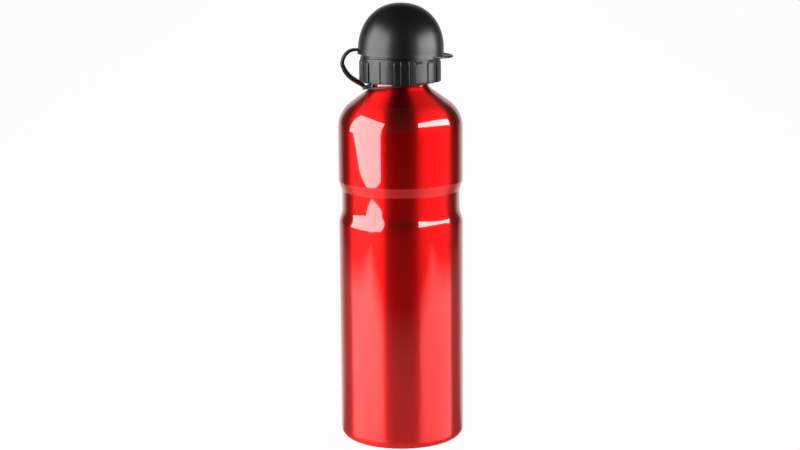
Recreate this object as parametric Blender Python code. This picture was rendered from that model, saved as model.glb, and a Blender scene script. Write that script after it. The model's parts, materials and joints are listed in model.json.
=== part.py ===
"""Aluminium water bottle with a screw cap, a pull spout and a tethered dust cover.

Metres, +Z up. The origin is the middle of the ring that the bottle stands on.
The tab of the dust cover points to +X and its strap lies at -X.
"""
import math

import bmesh
import bpy
from mathutils import Matrix, Vector

# Roundness
TURN_STEPS = 40
SMALL_TURN_STEPS = 16
OUTSIDE_CURVE_STEPS = 2
INSIDE_CURVE_STEPS = 1
SHARP_ANGLE = math.radians(32)

# Clearances
SEAT_GAP = 0.0003
CUT_OVERRUN = 0.002
JOIN_DEPTH = 0.0004

# Bottle shell, from the standing ring up
BODY_RADIUS = 0.0365
WALL = 0.0008
RECESS_DEPTH = 0.0080
RECESS_LIP = 0.0012
STAND_WIDTH = 0.0022
HEEL_WIDTH = 0.0069
HEEL_HEIGHT = 0.0058
LOWER_BODY_TOP = 0.1303
GRIP_DEPTH = 0.0019
GRIP_LOW_RAMP = 0.0085
GRIP_LENGTH = 0.0110
GRIP_HIGH_RAMP = 0.0056
UPPER_BODY_LENGTH = 0.0309
SHOULDER_RADIUS = 0.0189
SHOULDER_TURN = math.radians(54.5)
NECK_BLEND_RADIUS = 0.0048
NECK_RADIUS = 0.0165
NECK_GROOVE_LENGTH = 0.0032
NECK_STEP = 0.0012
LIP_LENGTH = 0.0014
LIP_SETBACK = 0.0001
LIP_ROLL = 0.0005

# Thread, shared by the neck and the cap
THREAD_PITCH = 0.0035
THREAD_ROWS_PER_PITCH = 6
THREAD_DEPTH = 0.0009
THREAD_BASE_WIDTH = 0.0019
THREAD_CREST_WIDTH = 0.0009
THREAD_TURNS = 2.0
THREAD_FADE_TURNS = 0.12
THREAD_RUNOUT = 0.0007
THREAD_RADIAL_GAP = 0.0004
CAP_THREAD_DEPTH = 0.00095
CAP_THREAD_TURNS = 1.6

# Screw cap
COLLAR_CLEARANCE = 0.0014
COLLAR_WALL = 0.0016
SLOT_WIDTH = 0.0009
SLEEVE_WALL = 0.0016
SLEEVE_RISE = 0.0009
RIB_COUNT = 17
RIB_HEIGHT = 0.0008
RIB_WIDTH_TURN = math.radians(13.6)
RIB_CREST_SHARE = 0.82
RIB_START_TURN = math.radians(-83.0)
RIB_TOP_GAP = 0.0020
RIB_INSET = 0.0004
STEP_WIDTH = 0.0005
STEP_DROP = 0.0046
DECK_THICKNESS = 0.0018
DECK_ROUND = 0.0011
EDGE_CHAMFER = 0.0003

# Tower on the deck, which the spout slides on
TOWER_WALL = 0.0016
TOWER_FLANGE_WIDTH = 0.0009
TOWER_FLANGE_HEIGHT = 0.0032
SEAL_GROOVE_DEPTH = 0.0008
SEAL_GROOVE_WIDTH = 0.0014
STEM_SEAT_HEIGHT = 0.0027
STEM_SEAT_WIDTH = 0.0011

# Valve stem, the fixed pin that the spout closes on
STEM_RING_HEIGHT = 0.0020
STEM_RING_WALL_SHARE = 0.234375
STEM_PIN_SHARE = 0.3125
STEM_TAIL = 0.0008
STEM_SPOKE_WIDTH = 0.0016
STEM_SPOKE_COUNT = 3
STEM_TIP_ROUND = 0.0006

# Spout
SPOUT_TRAVEL = 0.0050
SPOUT_DECK_GAP = 0.0006
SPOUT_SLIDE_GAP = 0.0005
SPOUT_VENT_GAP = 0.0005
SPOUT_LIP_HEIGHT = 0.0012
SPOUT_WALL = 0.0012
SPOUT_FLANGE_WIDTH = 0.0006
SPOUT_FLANGE_HEIGHT = 0.0014
SPOUT_FLANGE_SLOPE = 0.0007
NOZZLE_LENGTH = 0.0063
NOZZLE_LIP_WIDTH = 0.0011
NOZZLE_LIP_HEIGHT = 0.0022
NOZZLE_WALL = 0.0017
NOZZLE_STEP = 0.0004
NOZZLE_TOP_WALL = 0.0014
NOZZLE_ROUND = 0.0007

# Seals and vent
GASKET_THICKNESS = 0.0011
GASKET_OVERHANG = 0.0001
GASKET_OVERLAP = 0.0009
VENT_EDGE_GAP = 0.0005
VENT_HOLE_RADIUS = 0.0014
VENT_STEM_RADIUS = 0.0011
VENT_DISC_RADIUS = 0.0020
VENT_DISC_THICKNESS = 0.0007
VENT_BULB_RADIUS = 0.0015
VENT_BULB_HEIGHT = 0.0007

# Dust cover
COVER_GAP = 0.0006
COVER_WALL = 0.00135
COVER_RIM_WALL = 0.0016
COVER_FLARE = 0.0004
COVER_SKIRT_HEIGHT = 0.0059
COVER_RIM_ROUND = 0.0004
COVER_SEAM = 0.0006
COVER_LEDGE_WIDTH = 0.0015
COVER_LEDGE_HEIGHT = 0.0014
COVER_TILT = math.radians(2.5)
TAB_RADIUS = 0.0170
TAB_LENGTH = 0.0051
TAB_THICKNESS = 0.0018
TAB_RAISE = 0.0010

# Strap between the dust cover and the tether ring
STRAP_THICKNESS = 0.0018
STRAP_WIDTH = 0.0070
STRAP_LOOP_RADIUS = 0.0090
STRAP_STANDOFF = 0.0096
STRAP_LOOP_DROP = 0.0051
STRAP_UPPER_TURN = math.radians(60)
STRAP_LOWER_TURN = math.radians(55)
STRAP_COVER_RISE = 0.0031
STRAP_FOOT_RUN = 0.0016
STRAP_ARC_STEPS = 7

# Tether ring round the neck
RING_GAP = 0.0001
RING_WIDTH = 0.0022
RING_THICKNESS = 0.0017
RING_TILT = math.radians(3.5)
KNUCKLE_LENGTH = 0.0017
KNUCKLE_WIDTH = 0.0076
KNUCKLE_THICKNESS = 0.0022

# Radii that follow from the sizes above, from the neck outward
RECESS_RADIUS = BODY_RADIUS - HEEL_WIDTH - STAND_WIDTH - RECESS_LIP
WAIST_RADIUS = BODY_RADIUS - GRIP_DEPTH
SHOULDER_TOP_RADIUS = BODY_RADIUS - SHOULDER_RADIUS * (1 - math.cos(SHOULDER_TURN))
SLOPE_RADIUS = NECK_RADIUS + NECK_BLEND_RADIUS * (1 - math.cos(SHOULDER_TURN))
NECK_BORE = NECK_RADIUS - WALL
THREAD_ROOT_RADIUS = NECK_RADIUS + NECK_STEP
LIP_RADIUS = THREAD_ROOT_RADIUS - LIP_SETBACK
SLEEVE_BORE = THREAD_ROOT_RADIUS + THREAD_DEPTH + THREAD_RADIAL_GAP
SLEEVE_RADIUS = SLEEVE_BORE + SLEEVE_WALL
SLOT_RADIUS = SLEEVE_RADIUS + SLOT_WIDTH
COLLAR_RADIUS = SLOT_RADIUS + COLLAR_WALL
STEP_RADIUS = COLLAR_RADIUS - STEP_WIDTH
COVER_SKIRT_BORE = COLLAR_RADIUS + COVER_GAP
COVER_RIM_RADIUS = COVER_SKIRT_BORE + COVER_RIM_WALL
COVER_RADIUS = COVER_RIM_RADIUS - COVER_FLARE
RING_BORE_RADIUS = THREAD_ROOT_RADIUS + THREAD_DEPTH + RING_GAP
RING_RADIUS = RING_BORE_RADIUS + RING_WIDTH
KNUCKLE_REACH = RING_RADIUS + KNUCKLE_LENGTH

# Radii from the neck inward: the spout is as wide as the vent valve leaves room for
VENT_PLACE_RADIUS = NECK_BORE - VENT_EDGE_GAP - VENT_DISC_RADIUS
SPOUT_FLANGE_RADIUS = VENT_PLACE_RADIUS - VENT_BULB_RADIUS - SPOUT_VENT_GAP
SPOUT_RADIUS = SPOUT_FLANGE_RADIUS - SPOUT_FLANGE_WIDTH
SPOUT_BORE = SPOUT_RADIUS - SPOUT_WALL
TOWER_FLANGE_RADIUS = SPOUT_BORE - SPOUT_SLIDE_GAP
TOWER_RADIUS = TOWER_FLANGE_RADIUS - TOWER_FLANGE_WIDTH
TOWER_BORE = TOWER_RADIUS - TOWER_WALL
STEM_RING_WALL = TOWER_BORE * STEM_RING_WALL_SHARE
STEM_PIN_RADIUS = TOWER_BORE * STEM_PIN_SHARE
GROOVE_RADIUS = TOWER_FLANGE_RADIUS - SEAL_GROOVE_DEPTH
SPOUT_LIP_BORE = TOWER_RADIUS + SEAT_GAP
NOZZLE_BORE_RADIUS = TOWER_BORE - NOZZLE_STEP
NOZZLE_WAIST_RADIUS = NOZZLE_BORE_RADIUS + NOZZLE_WALL
NOZZLE_RADIUS = NOZZLE_WAIST_RADIUS + NOZZLE_LIP_WIDTH
NOZZLE_HOLE_RADIUS = STEM_PIN_RADIUS + SEAT_GAP

# Heights, from the standing ring up
GRIP_LOW = LOWER_BODY_TOP + GRIP_LOW_RAMP
GRIP_HIGH = GRIP_LOW + GRIP_LENGTH
UPPER_BODY_LOW = GRIP_HIGH + GRIP_HIGH_RAMP
SHOULDER_LOW = UPPER_BODY_LOW + UPPER_BODY_LENGTH
SHOULDER_HIGH = SHOULDER_LOW + SHOULDER_RADIUS * math.sin(SHOULDER_TURN)
SLOPE_TOP = SHOULDER_HIGH + (SHOULDER_TOP_RADIUS - SLOPE_RADIUS) / math.tan(SHOULDER_TURN)
NECK_LOW = SLOPE_TOP + NECK_BLEND_RADIUS * math.sin(SHOULDER_TURN)
THREAD_LOW = NECK_LOW + NECK_GROOVE_LENGTH
RIDGE_START = THREAD_LOW + THREAD_BASE_WIDTH
CAP_RIDGE_START = RIDGE_START + THREAD_PITCH / 2
THREAD_HIGH = RIDGE_START + THREAD_TURNS * THREAD_PITCH + THREAD_BASE_WIDTH + THREAD_RUNOUT
LIP_TOP = THREAD_HIGH + LIP_LENGTH
GASKET_LOW = LIP_TOP + SEAT_GAP
DECK_LOW = GASKET_LOW + GASKET_THICKNESS + SEAT_GAP
DECK_TOP = DECK_LOW + DECK_THICKNESS
COLLAR_LOW = NECK_LOW + COLLAR_CLEARANCE
SLEEVE_LOW = COLLAR_LOW + SLEEVE_RISE
STEP_LOW = DECK_TOP - STEP_DROP
STEM_SEAT = DECK_TOP + STEM_SEAT_HEIGHT
SPOUT_LOW = DECK_TOP + SPOUT_DECK_GAP
FLANGE_LOW = SPOUT_LOW + SPOUT_LIP_HEIGHT + SPOUT_TRAVEL + SEAT_GAP
TOWER_TOP = FLANGE_LOW + TOWER_FLANGE_HEIGHT
GROOVE_LOW = FLANGE_LOW + (TOWER_FLANGE_HEIGHT - SEAL_GROOVE_WIDTH) / 2
SPOUT_CEILING = TOWER_TOP + SEAT_GAP
SPOUT_TOP = SPOUT_CEILING + NOZZLE_LENGTH
COVER_LOW = STEP_LOW + COVER_SEAM
COVER_MIDDLE = COVER_LOW + COVER_SKIRT_HEIGHT
LEDGE_LOW = DECK_TOP + SEAT_GAP + COLLAR_RADIUS * math.sin(COVER_TILT)

# The strap's loop and the ring, which hangs with its high side just under the collar
LOOP_MIDDLE_X = STRAP_THICKNESS / 2 + STRAP_LOOP_RADIUS - COVER_RIM_RADIUS - STRAP_STANDOFF
LOOP_MIDDLE_Z = COVER_LOW - STRAP_LOOP_DROP
RING_MIDDLE = COLLAR_LOW - SEAT_GAP - RING_THICKNESS / 2 - RING_RADIUS * math.sin(RING_TILT)


def finish(name, colour, roughness, metallic):
    """A plain surface for one sub-part."""
    material = bpy.data.materials.new(name)
    material.use_nodes = True
    shader = material.node_tree.nodes["Principled BSDF"]
    shader.inputs["Base Color"].default_value = (*colour, 1.0)
    shader.inputs["Roughness"].default_value = roughness
    shader.inputs["Metallic"].default_value = metallic
    return material


def black_plastic(name):
    return finish(name, (0.012, 0.012, 0.013), 0.42, 0.0)


def add_object(name, mesh, material):
    """An object for a finished mesh, smooth where it is round and sharp at its edges."""
    mesh.shade_smooth()
    mesh.set_sharp_from_angle(angle=SHARP_ANGLE)
    mesh.materials.append(material)
    thing = bpy.data.objects.new(name, mesh)
    bpy.context.collection.objects.link(thing)
    return thing


def mesh_from(name, work):
    bmesh.ops.recalc_face_normals(work, faces=work.faces)
    mesh = bpy.data.meshes.new(name)
    work.to_mesh(mesh)
    work.free()
    return mesh


def helper(name, mesh):
    """A guide shape that a Boolean modifier uses."""
    thing = bpy.data.objects.new(name, mesh)
    bpy.context.collection.objects.link(thing)
    thing.hide_render = True
    thing.display_type = 'WIRE'
    return thing


def combine(thing, tool, operation):
    modifier = thing.modifiers.new(tool.name, 'BOOLEAN')
    modifier.operation = operation
    modifier.solver = 'EXACT'
    modifier.object = tool


def arc(middle_r, middle_z, size_r, size_z, start, end, steps):
    """Points on a round or oval arc, from one angle to another, both ends with it."""
    points = []
    for step in range(steps + 1):
        angle = start + (end - start) * step / steps
        points.append((middle_r + size_r * math.cos(angle), middle_z + size_z * math.sin(angle)))
    return points


def ramp(low_r, low_z, high_r, high_z, steps):
    """An S-shaped change of radius between two heights."""
    points = []
    for step in range(steps + 1):
        share = step / steps
        swell = share * share * (3 - 2 * share)
        points.append((low_r + (high_r - low_r) * swell, low_z + (high_z - low_z) * share))
    return points


def inner_side(points, wall):
    """The outline one wall inside an outline that runs from the axis outward and up."""
    inner = []
    for place, (r, z) in enumerate(points):
        before = points[max(place - 1, 0)]
        after = points[min(place + 1, len(points) - 1)]
        along = Vector((after[0] - before[0], after[1] - before[1])).normalized()
        inner.append((r - along.y * wall if r > 0.0 else 0.0, z + along.x * wall))
    return inner


def ridge_height(angle, z, start, turns):
    """How much of the thread's depth stands at one place, from 0 to 1."""
    turn = angle / math.tau
    whole = round((z - start) / THREAD_PITCH - turn)
    along = turn + whole
    offset = abs(z - start - THREAD_PITCH * along)
    flank = (THREAD_BASE_WIDTH - THREAD_CREST_WIDTH) / 2
    height = min(max((THREAD_BASE_WIDTH / 2 - offset) / flank, 0.0), 1.0)
    fade = min(max(min(along, turns - along) / THREAD_FADE_TURNS, 0.0), 1.0)
    return height * fade


def turned_mesh(name, outline, steps=TURN_STEPS, ridge=None):
    """A body turned about Z. An outline that touches the axis closes there, others close on themselves.

    An outline point is (radius, height), or (radius, height, depth) where a thread ridge stands.
    """
    work = bmesh.new()
    rows = []
    for point in outline:
        r, z = point[0], point[1]
        depth = point[2] if len(point) > 2 else 0.0
        if r <= 0.0:
            rows.append([work.verts.new((0.0, 0.0, z))])
            continue
        row = []
        for step in range(steps):
            angle = math.tau * step / steps
            here = r + (depth * ridge(angle, z) if depth else 0.0)
            row.append(work.verts.new((here * math.cos(angle), here * math.sin(angle), z)))
        rows.append(row)
    pairs = list(zip(rows, rows[1:]))
    if len(rows[0]) > 1:
        pairs.append((rows[-1], rows[0]))
    for one, other in pairs:
        for step in range(steps):
            after = (step + 1) % steps
            corners = [one[step % len(one)], one[after % len(one)]]
            corners += [other[after % len(other)], other[step % len(other)]]
            work.faces.new(list(dict.fromkeys(corners)))
    return mesh_from(name, work)


def block_mesh(name, blocks):
    """Closed blocks, each given as a lower and an upper ring of corners."""
    work = bmesh.new()
    for low_ring, high_ring in blocks:
        low = [work.verts.new(corner) for corner in low_ring]
        high = [work.verts.new(corner) for corner in high_ring]
        work.faces.new(low)
        work.faces.new(high)
        for place in range(len(low)):
            after = (place + 1) % len(low)
            work.faces.new((low[place], low[after], high[after], high[place]))
    return mesh_from(name, work)


def turn_about_y(mesh, angle, height):
    """Tilt a mesh about the line along Y that crosses the axis at a height."""
    middle = Matrix.Translation((0.0, 0.0, height))
    mesh.transform(middle @ Matrix.Rotation(angle, 4, 'Y') @ middle.inverted())


def body_outline(fineness):
    """The outside of the bottle, from the middle of the base to the foot of the thread."""
    recess_curve = (RECESS_RADIUS ** 2 + RECESS_DEPTH ** 2) / (2 * RECESS_DEPTH)
    recess_turn = math.asin(RECESS_RADIUS / recess_curve)
    recess_middle = RECESS_DEPTH - recess_curve
    points = arc(0.0, recess_middle, recess_curve, recess_curve,
                 math.pi / 2, math.pi / 2 - recess_turn, 2 * fineness)
    points[0] = (0.0, RECESS_DEPTH)
    points[-1] = (RECESS_RADIUS + RECESS_LIP, 0.0)
    points += arc(BODY_RADIUS - HEEL_WIDTH, HEEL_HEIGHT, HEEL_WIDTH, HEEL_HEIGHT,
                  -math.pi / 2, 0.0, 3 * fineness)
    points += ramp(BODY_RADIUS, LOWER_BODY_TOP, WAIST_RADIUS, GRIP_LOW, 2 * fineness)
    points += ramp(WAIST_RADIUS, GRIP_HIGH, BODY_RADIUS, UPPER_BODY_LOW, 2 * fineness)
    points += arc(BODY_RADIUS - SHOULDER_RADIUS, SHOULDER_LOW, SHOULDER_RADIUS, SHOULDER_RADIUS,
                  0.0, SHOULDER_TURN, 4 * fineness)
    points += arc(NECK_RADIUS + NECK_BLEND_RADIUS, NECK_LOW, NECK_BLEND_RADIUS, NECK_BLEND_RADIUS,
                  math.pi + SHOULDER_TURN, math.pi, 2 * fineness)
    return points


def thread_rows(radius, depth, low, high):
    """Evenly spaced outline points over the stretch that a thread runs on."""
    count = round((high - low) / THREAD_PITCH * THREAD_ROWS_PER_PITCH)
    return [(radius, low + (high - low) * place / count, depth) for place in range(count + 1)]


def make_bottle_shell():
    outside = body_outline(OUTSIDE_CURVE_STEPS)
    inside = inner_side(body_outline(INSIDE_CURVE_STEPS), WALL)
    inside[-1] = (NECK_BORE, NECK_LOW)
    neck = [(NECK_RADIUS, THREAD_LOW - (THREAD_ROOT_RADIUS - NECK_RADIUS))]
    neck += thread_rows(THREAD_ROOT_RADIUS, THREAD_DEPTH, THREAD_LOW, THREAD_HIGH)
    lip = [(LIP_RADIUS, LIP_TOP - LIP_ROLL * 2)]
    lip += arc(LIP_RADIUS - LIP_ROLL, LIP_TOP - LIP_ROLL, LIP_ROLL, LIP_ROLL, 0.0, math.pi / 2, 2)
    lip += [(NECK_BORE + LIP_ROLL, LIP_TOP), (NECK_BORE, LIP_TOP - LIP_ROLL)]

    def ridge(angle, z):
        return ridge_height(angle, z, RIDGE_START, THREAD_TURNS)

    outline = outside + neck + lip + inside[::-1]
    mesh = turned_mesh("bottle_shell", outline, ridge=ridge)
    add_object("bottle_shell", mesh, finish("red_lacquered_aluminium", (0.70, 0.02, 0.03), 0.28, 0.9))


def cap_outline():
    """The cross-section of the cap moulding: collar, deck, tower and threaded sleeve."""
    points = [(SLOT_RADIUS, COLLAR_LOW), (COLLAR_RADIUS - EDGE_CHAMFER, COLLAR_LOW)]
    points += [(COLLAR_RADIUS, COLLAR_LOW + EDGE_CHAMFER), (COLLAR_RADIUS, STEP_LOW - EDGE_CHAMFER)]
    points += [(STEP_RADIUS, STEP_LOW)]
    points += arc(STEP_RADIUS - DECK_ROUND, DECK_TOP - DECK_ROUND, DECK_ROUND, DECK_ROUND,
                  0.0, math.pi / 2, 3)
    points += [(TOWER_RADIUS, DECK_TOP), (TOWER_RADIUS, FLANGE_LOW)]
    points += [(TOWER_FLANGE_RADIUS, FLANGE_LOW), (TOWER_FLANGE_RADIUS, GROOVE_LOW)]
    points += [(GROOVE_RADIUS, GROOVE_LOW), (GROOVE_RADIUS, GROOVE_LOW + SEAL_GROOVE_WIDTH)]
    points += [(TOWER_FLANGE_RADIUS, GROOVE_LOW + SEAL_GROOVE_WIDTH)]
    points += [(TOWER_FLANGE_RADIUS, TOWER_TOP - EDGE_CHAMFER)]
    points += [(TOWER_FLANGE_RADIUS - EDGE_CHAMFER, TOWER_TOP)]
    points += [(TOWER_BORE, TOWER_TOP), (TOWER_BORE, STEM_SEAT)]
    points += [(TOWER_BORE - STEM_SEAT_WIDTH, STEM_SEAT), (TOWER_BORE - STEM_SEAT_WIDTH, DECK_LOW)]
    points += [(SLEEVE_BORE, DECK_LOW)]
    points += thread_rows(SLEEVE_BORE, -CAP_THREAD_DEPTH, THREAD_LOW, THREAD_HIGH)[::-1]
    points += [(SLEEVE_BORE, SLEEVE_LOW), (SLEEVE_RADIUS, SLEEVE_LOW)]
    points += [(SLEEVE_RADIUS, DECK_LOW), (SLOT_RADIUS, DECK_LOW)]
    return points


def rib_blocks():
    """The raised grip ribs that run up the outside of the collar."""
    blocks = []
    low = COLLAR_LOW + RIB_INSET
    high = STEP_LOW - RIB_TOP_GAP
    for count in range(RIB_COUNT):
        middle = RIB_START_TURN + math.tau * count / RIB_COUNT
        corners = []
        for side_share, radius in ((1, COLLAR_RADIUS - JOIN_DEPTH),
                                   (RIB_CREST_SHARE, COLLAR_RADIUS + RIB_HEIGHT),
                                   (0, COLLAR_RADIUS + RIB_HEIGHT),
                                   (-RIB_CREST_SHARE, COLLAR_RADIUS + RIB_HEIGHT),
                                   (-1, COLLAR_RADIUS - JOIN_DEPTH)):
            angle = middle + RIB_WIDTH_TURN / 2 * side_share
            corners.append((radius * math.cos(angle), radius * math.sin(angle)))
        blocks.append(([(x, y, low) for x, y in corners], [(x, y, high) for x, y in corners]))
    return blocks


def make_screw_cap():
    def ridge(angle, z):
        return ridge_height(angle, z, CAP_RIDGE_START, CAP_THREAD_TURNS)

    mesh = turned_mesh("screw_cap", cap_outline(), ridge=ridge)
    cap = add_object("screw_cap", mesh, black_plastic("black_cap_plastic"))
    combine(cap, helper("guide_ribs", block_mesh("guide_ribs", rib_blocks())), 'UNION')
    hole = [(0.0, DECK_TOP + CUT_OVERRUN), (VENT_HOLE_RADIUS, DECK_TOP + CUT_OVERRUN),
            (VENT_HOLE_RADIUS, DECK_LOW - CUT_OVERRUN), (0.0, DECK_LOW - CUT_OVERRUN)]
    cutter_mesh = turned_mesh("cut_vent_hole", hole, SMALL_TURN_STEPS)
    cutter_mesh.transform(Matrix.Translation((0.0, VENT_PLACE_RADIUS, 0.0)))
    combine(cap, helper("cut_vent_hole", cutter_mesh), 'DIFFERENCE')


def make_lip_gasket():
    inner = NECK_BORE - GASKET_OVERHANG
    outer = LIP_RADIUS + GASKET_OVERLAP
    outline = [(inner, GASKET_LOW), (outer, GASKET_LOW),
               (outer, GASKET_LOW + GASKET_THICKNESS), (inner, GASKET_LOW + GASKET_THICKNESS)]
    mesh = turned_mesh("lip_gasket", outline)
    add_object("lip_gasket", mesh, finish("clear_silicone", (0.72, 0.73, 0.72), 0.45, 0.0))


def make_vent_valve():
    disc_top = DECK_LOW - SEAT_GAP
    bulb_low = DECK_TOP + SEAT_GAP
    outline = [(0.0, disc_top - VENT_DISC_THICKNESS), (VENT_DISC_RADIUS, disc_top - VENT_DISC_THICKNESS),
               (VENT_DISC_RADIUS, disc_top), (VENT_STEM_RADIUS, disc_top), (VENT_STEM_RADIUS, bulb_low),
               (VENT_BULB_RADIUS, bulb_low), (VENT_STEM_RADIUS, bulb_low + VENT_BULB_HEIGHT),
               (0.0, bulb_low + VENT_BULB_HEIGHT)]
    mesh = turned_mesh("vent_valve", outline, SMALL_TURN_STEPS)
    valve = add_object("vent_valve", mesh, finish("vent_silicone", (0.60, 0.61, 0.60), 0.50, 0.0))
    valve.location = (0.0, VENT_PLACE_RADIUS, 0.0)


def make_valve_stem():
    ring_low = STEM_SEAT + SEAT_GAP
    ring_high = ring_low + STEM_RING_HEIGHT
    ring_radius = TOWER_BORE - SEAT_GAP
    pin_top = SPOUT_TOP - SEAT_GAP
    pin = [(0.0, ring_low - STEM_TAIL), (STEM_PIN_RADIUS, ring_low - STEM_TAIL),
           (STEM_PIN_RADIUS, pin_top - STEM_TIP_ROUND), (STEM_PIN_RADIUS - STEM_TIP_ROUND, pin_top),
           (0.0, pin_top)]
    stem = add_object("valve_stem", turned_mesh("valve_stem", pin, SMALL_TURN_STEPS),
                      finish("white_valve_plastic", (0.75, 0.75, 0.74), 0.40, 0.0))
    ring = [(ring_radius - STEM_RING_WALL, ring_low), (ring_radius, ring_low),
            (ring_radius, ring_high), (ring_radius - STEM_RING_WALL, ring_high)]
    combine(stem, helper("guide_stem_ring", turned_mesh("guide_stem_ring", ring, TURN_STEPS // 2)), 'UNION')
    blocks = []
    for count in range(STEM_SPOKE_COUNT):
        turn = Matrix.Rotation(math.tau * count / STEM_SPOKE_COUNT, 3, 'Z')
        corners = []
        for x, side_share in ((STEM_PIN_RADIUS / 2, -1), (ring_radius - STEM_RING_WALL / 2, -1),
                              (ring_radius - STEM_RING_WALL / 2, 1), (STEM_PIN_RADIUS / 2, 1)):
            corners.append(turn @ Vector((x, STEM_SPOKE_WIDTH / 2 * side_share, 0.0)))
        low = Vector((0.0, 0.0, ring_low + EDGE_CHAMFER))
        high = Vector((0.0, 0.0, ring_high - EDGE_CHAMFER))
        blocks.append(([corner + low for corner in corners], [corner + high for corner in corners]))
    combine(stem, helper("guide_stem_spokes", block_mesh("guide_stem_spokes", blocks)), 'UNION')


def make_spout_seal():
    inner = GROOVE_RADIUS + SEAT_GAP
    outer = SPOUT_BORE - SEAT_GAP
    low = GROOVE_LOW + SEAT_GAP
    high = GROOVE_LOW + SEAL_GROOVE_WIDTH - SEAT_GAP
    mesh = turned_mesh("spout_seal", [(inner, low), (outer, low), (outer, high), (inner, high)])
    add_object("spout_seal", mesh, finish("seal_silicone", (0.66, 0.67, 0.66), 0.45, 0.0))


def make_spout():
    flange_high = SPOUT_LOW + SPOUT_FLANGE_HEIGHT
    lip_low = SPOUT_TOP - NOZZLE_LIP_HEIGHT
    points = [(SPOUT_LIP_BORE, SPOUT_LOW), (SPOUT_FLANGE_RADIUS, SPOUT_LOW)]
    points += [(SPOUT_FLANGE_RADIUS, flange_high), (SPOUT_RADIUS, flange_high + SPOUT_FLANGE_SLOPE)]
    points += [(SPOUT_RADIUS, SPOUT_CEILING)]
    points += [(NOZZLE_WAIST_RADIUS, SPOUT_CEILING + SPOUT_WALL), (NOZZLE_WAIST_RADIUS, lip_low)]
    points += [(NOZZLE_RADIUS, lip_low + NOZZLE_ROUND)]
    points += arc(NOZZLE_RADIUS - NOZZLE_ROUND, SPOUT_TOP - NOZZLE_ROUND, NOZZLE_ROUND, NOZZLE_ROUND,
                  0.0, math.pi / 2, 3)
    points += [(NOZZLE_HOLE_RADIUS, SPOUT_TOP), (NOZZLE_HOLE_RADIUS, SPOUT_TOP - NOZZLE_TOP_WALL)]
    points += [(NOZZLE_BORE_RADIUS, SPOUT_TOP - NOZZLE_TOP_WALL), (NOZZLE_BORE_RADIUS, SPOUT_CEILING)]
    points += [(SPOUT_BORE, SPOUT_CEILING), (SPOUT_BORE, SPOUT_LOW + SPOUT_LIP_HEIGHT)]
    points += [(SPOUT_LIP_BORE, SPOUT_LOW + SPOUT_LIP_HEIGHT)]
    add_object("spout", turned_mesh("spout", points),
               finish("milky_spout_plastic", (0.80, 0.82, 0.84), 0.25, 0.0))


def cover_outline():
    """The dome shell, from the top of its outside round the rim to the top of its inside."""
    inner_radius = COVER_RADIUS - COVER_WALL
    ledge_reach = COVER_SKIRT_BORE - COVER_LEDGE_WIDTH
    inner_low = LEDGE_LOW + COVER_LEDGE_HEIGHT
    inner_turn = math.asin((inner_low - COVER_MIDDLE) / inner_radius)
    points = arc(0.0, COVER_MIDDLE, COVER_RADIUS, COVER_RADIUS, math.pi / 2, 0.0, 11)
    points[0] = (0.0, COVER_MIDDLE + COVER_RADIUS)
    points += [(COVER_RIM_RADIUS, COVER_LOW + COVER_RIM_ROUND)]
    points += [(COVER_RIM_RADIUS - COVER_RIM_ROUND, COVER_LOW)]
    points += [(COVER_SKIRT_BORE, COVER_LOW), (COVER_SKIRT_BORE, LEDGE_LOW), (ledge_reach, LEDGE_LOW)]
    inside = arc(0.0, COVER_MIDDLE, inner_radius, inner_radius, inner_turn, math.pi / 2, 7)
    inside[-1] = (0.0, COVER_MIDDLE + inner_radius)
    return points + inside


def tab_block():
    """The thumb tab, a crescent that stands out of the dome's skirt."""
    middle_x = COVER_RIM_RADIUS + TAB_LENGTH - TAB_RADIUS
    root = COVER_SKIRT_BORE + JOIN_DEPTH
    cross_x = (root ** 2 - TAB_RADIUS ** 2 + middle_x ** 2) / (2 * middle_x)
    outer_turn = math.acos((cross_x - middle_x) / TAB_RADIUS)
    root_turn = math.acos(cross_x / root)
    plan = arc(middle_x, 0.0, TAB_RADIUS, TAB_RADIUS, -outer_turn, outer_turn, 14)
    plan += arc(0.0, 0.0, root, root, root_turn, -root_turn, 8)[1:-1]
    low = COVER_LOW + TAB_RAISE
    return [(x, y, low) for x, y in plan], [(x, y, low + TAB_THICKNESS) for x, y in plan]


def make_dust_cover():
    dome = turned_mesh("dust_cover", cover_outline())
    tab = block_mesh("guide_tab", [tab_block()])
    turn_about_y(dome, COVER_TILT, COVER_LOW)
    turn_about_y(tab, COVER_TILT, COVER_LOW)
    cover = add_object("dust_cover", dome, black_plastic("black_cover_plastic"))
    combine(cover, helper("guide_tab", tab), 'UNION')


def strap_piece(name, route):
    """A flat strap swept along a route in the XZ plane."""
    work = bmesh.new()
    rings = []
    for place, (x, z) in enumerate(route):
        before = route[max(place - 1, 0)]
        after = route[min(place + 1, len(route) - 1)]
        along = Vector((after[0] - before[0], 0.0, after[1] - before[1])).normalized()
        side = Vector((-along.z, 0.0, along.x)) * STRAP_THICKNESS / 2
        across = Vector((0.0, STRAP_WIDTH / 2, 0.0))
        middle = Vector((x, 0.0, z))
        corners = (middle + side + across, middle + side - across,
                   middle - side - across, middle - side + across)
        rings.append([work.verts.new(corner) for corner in corners])
    for one, other in zip(rings, rings[1:]):
        for place in range(4):
            after = (place + 1) % 4
            work.faces.new((one[place], one[after], other[after], other[place]))
    work.faces.new(rings[0])
    work.faces.new(rings[-1])
    add_object(name, mesh_from(name, work), black_plastic(name + "_plastic"))


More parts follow.
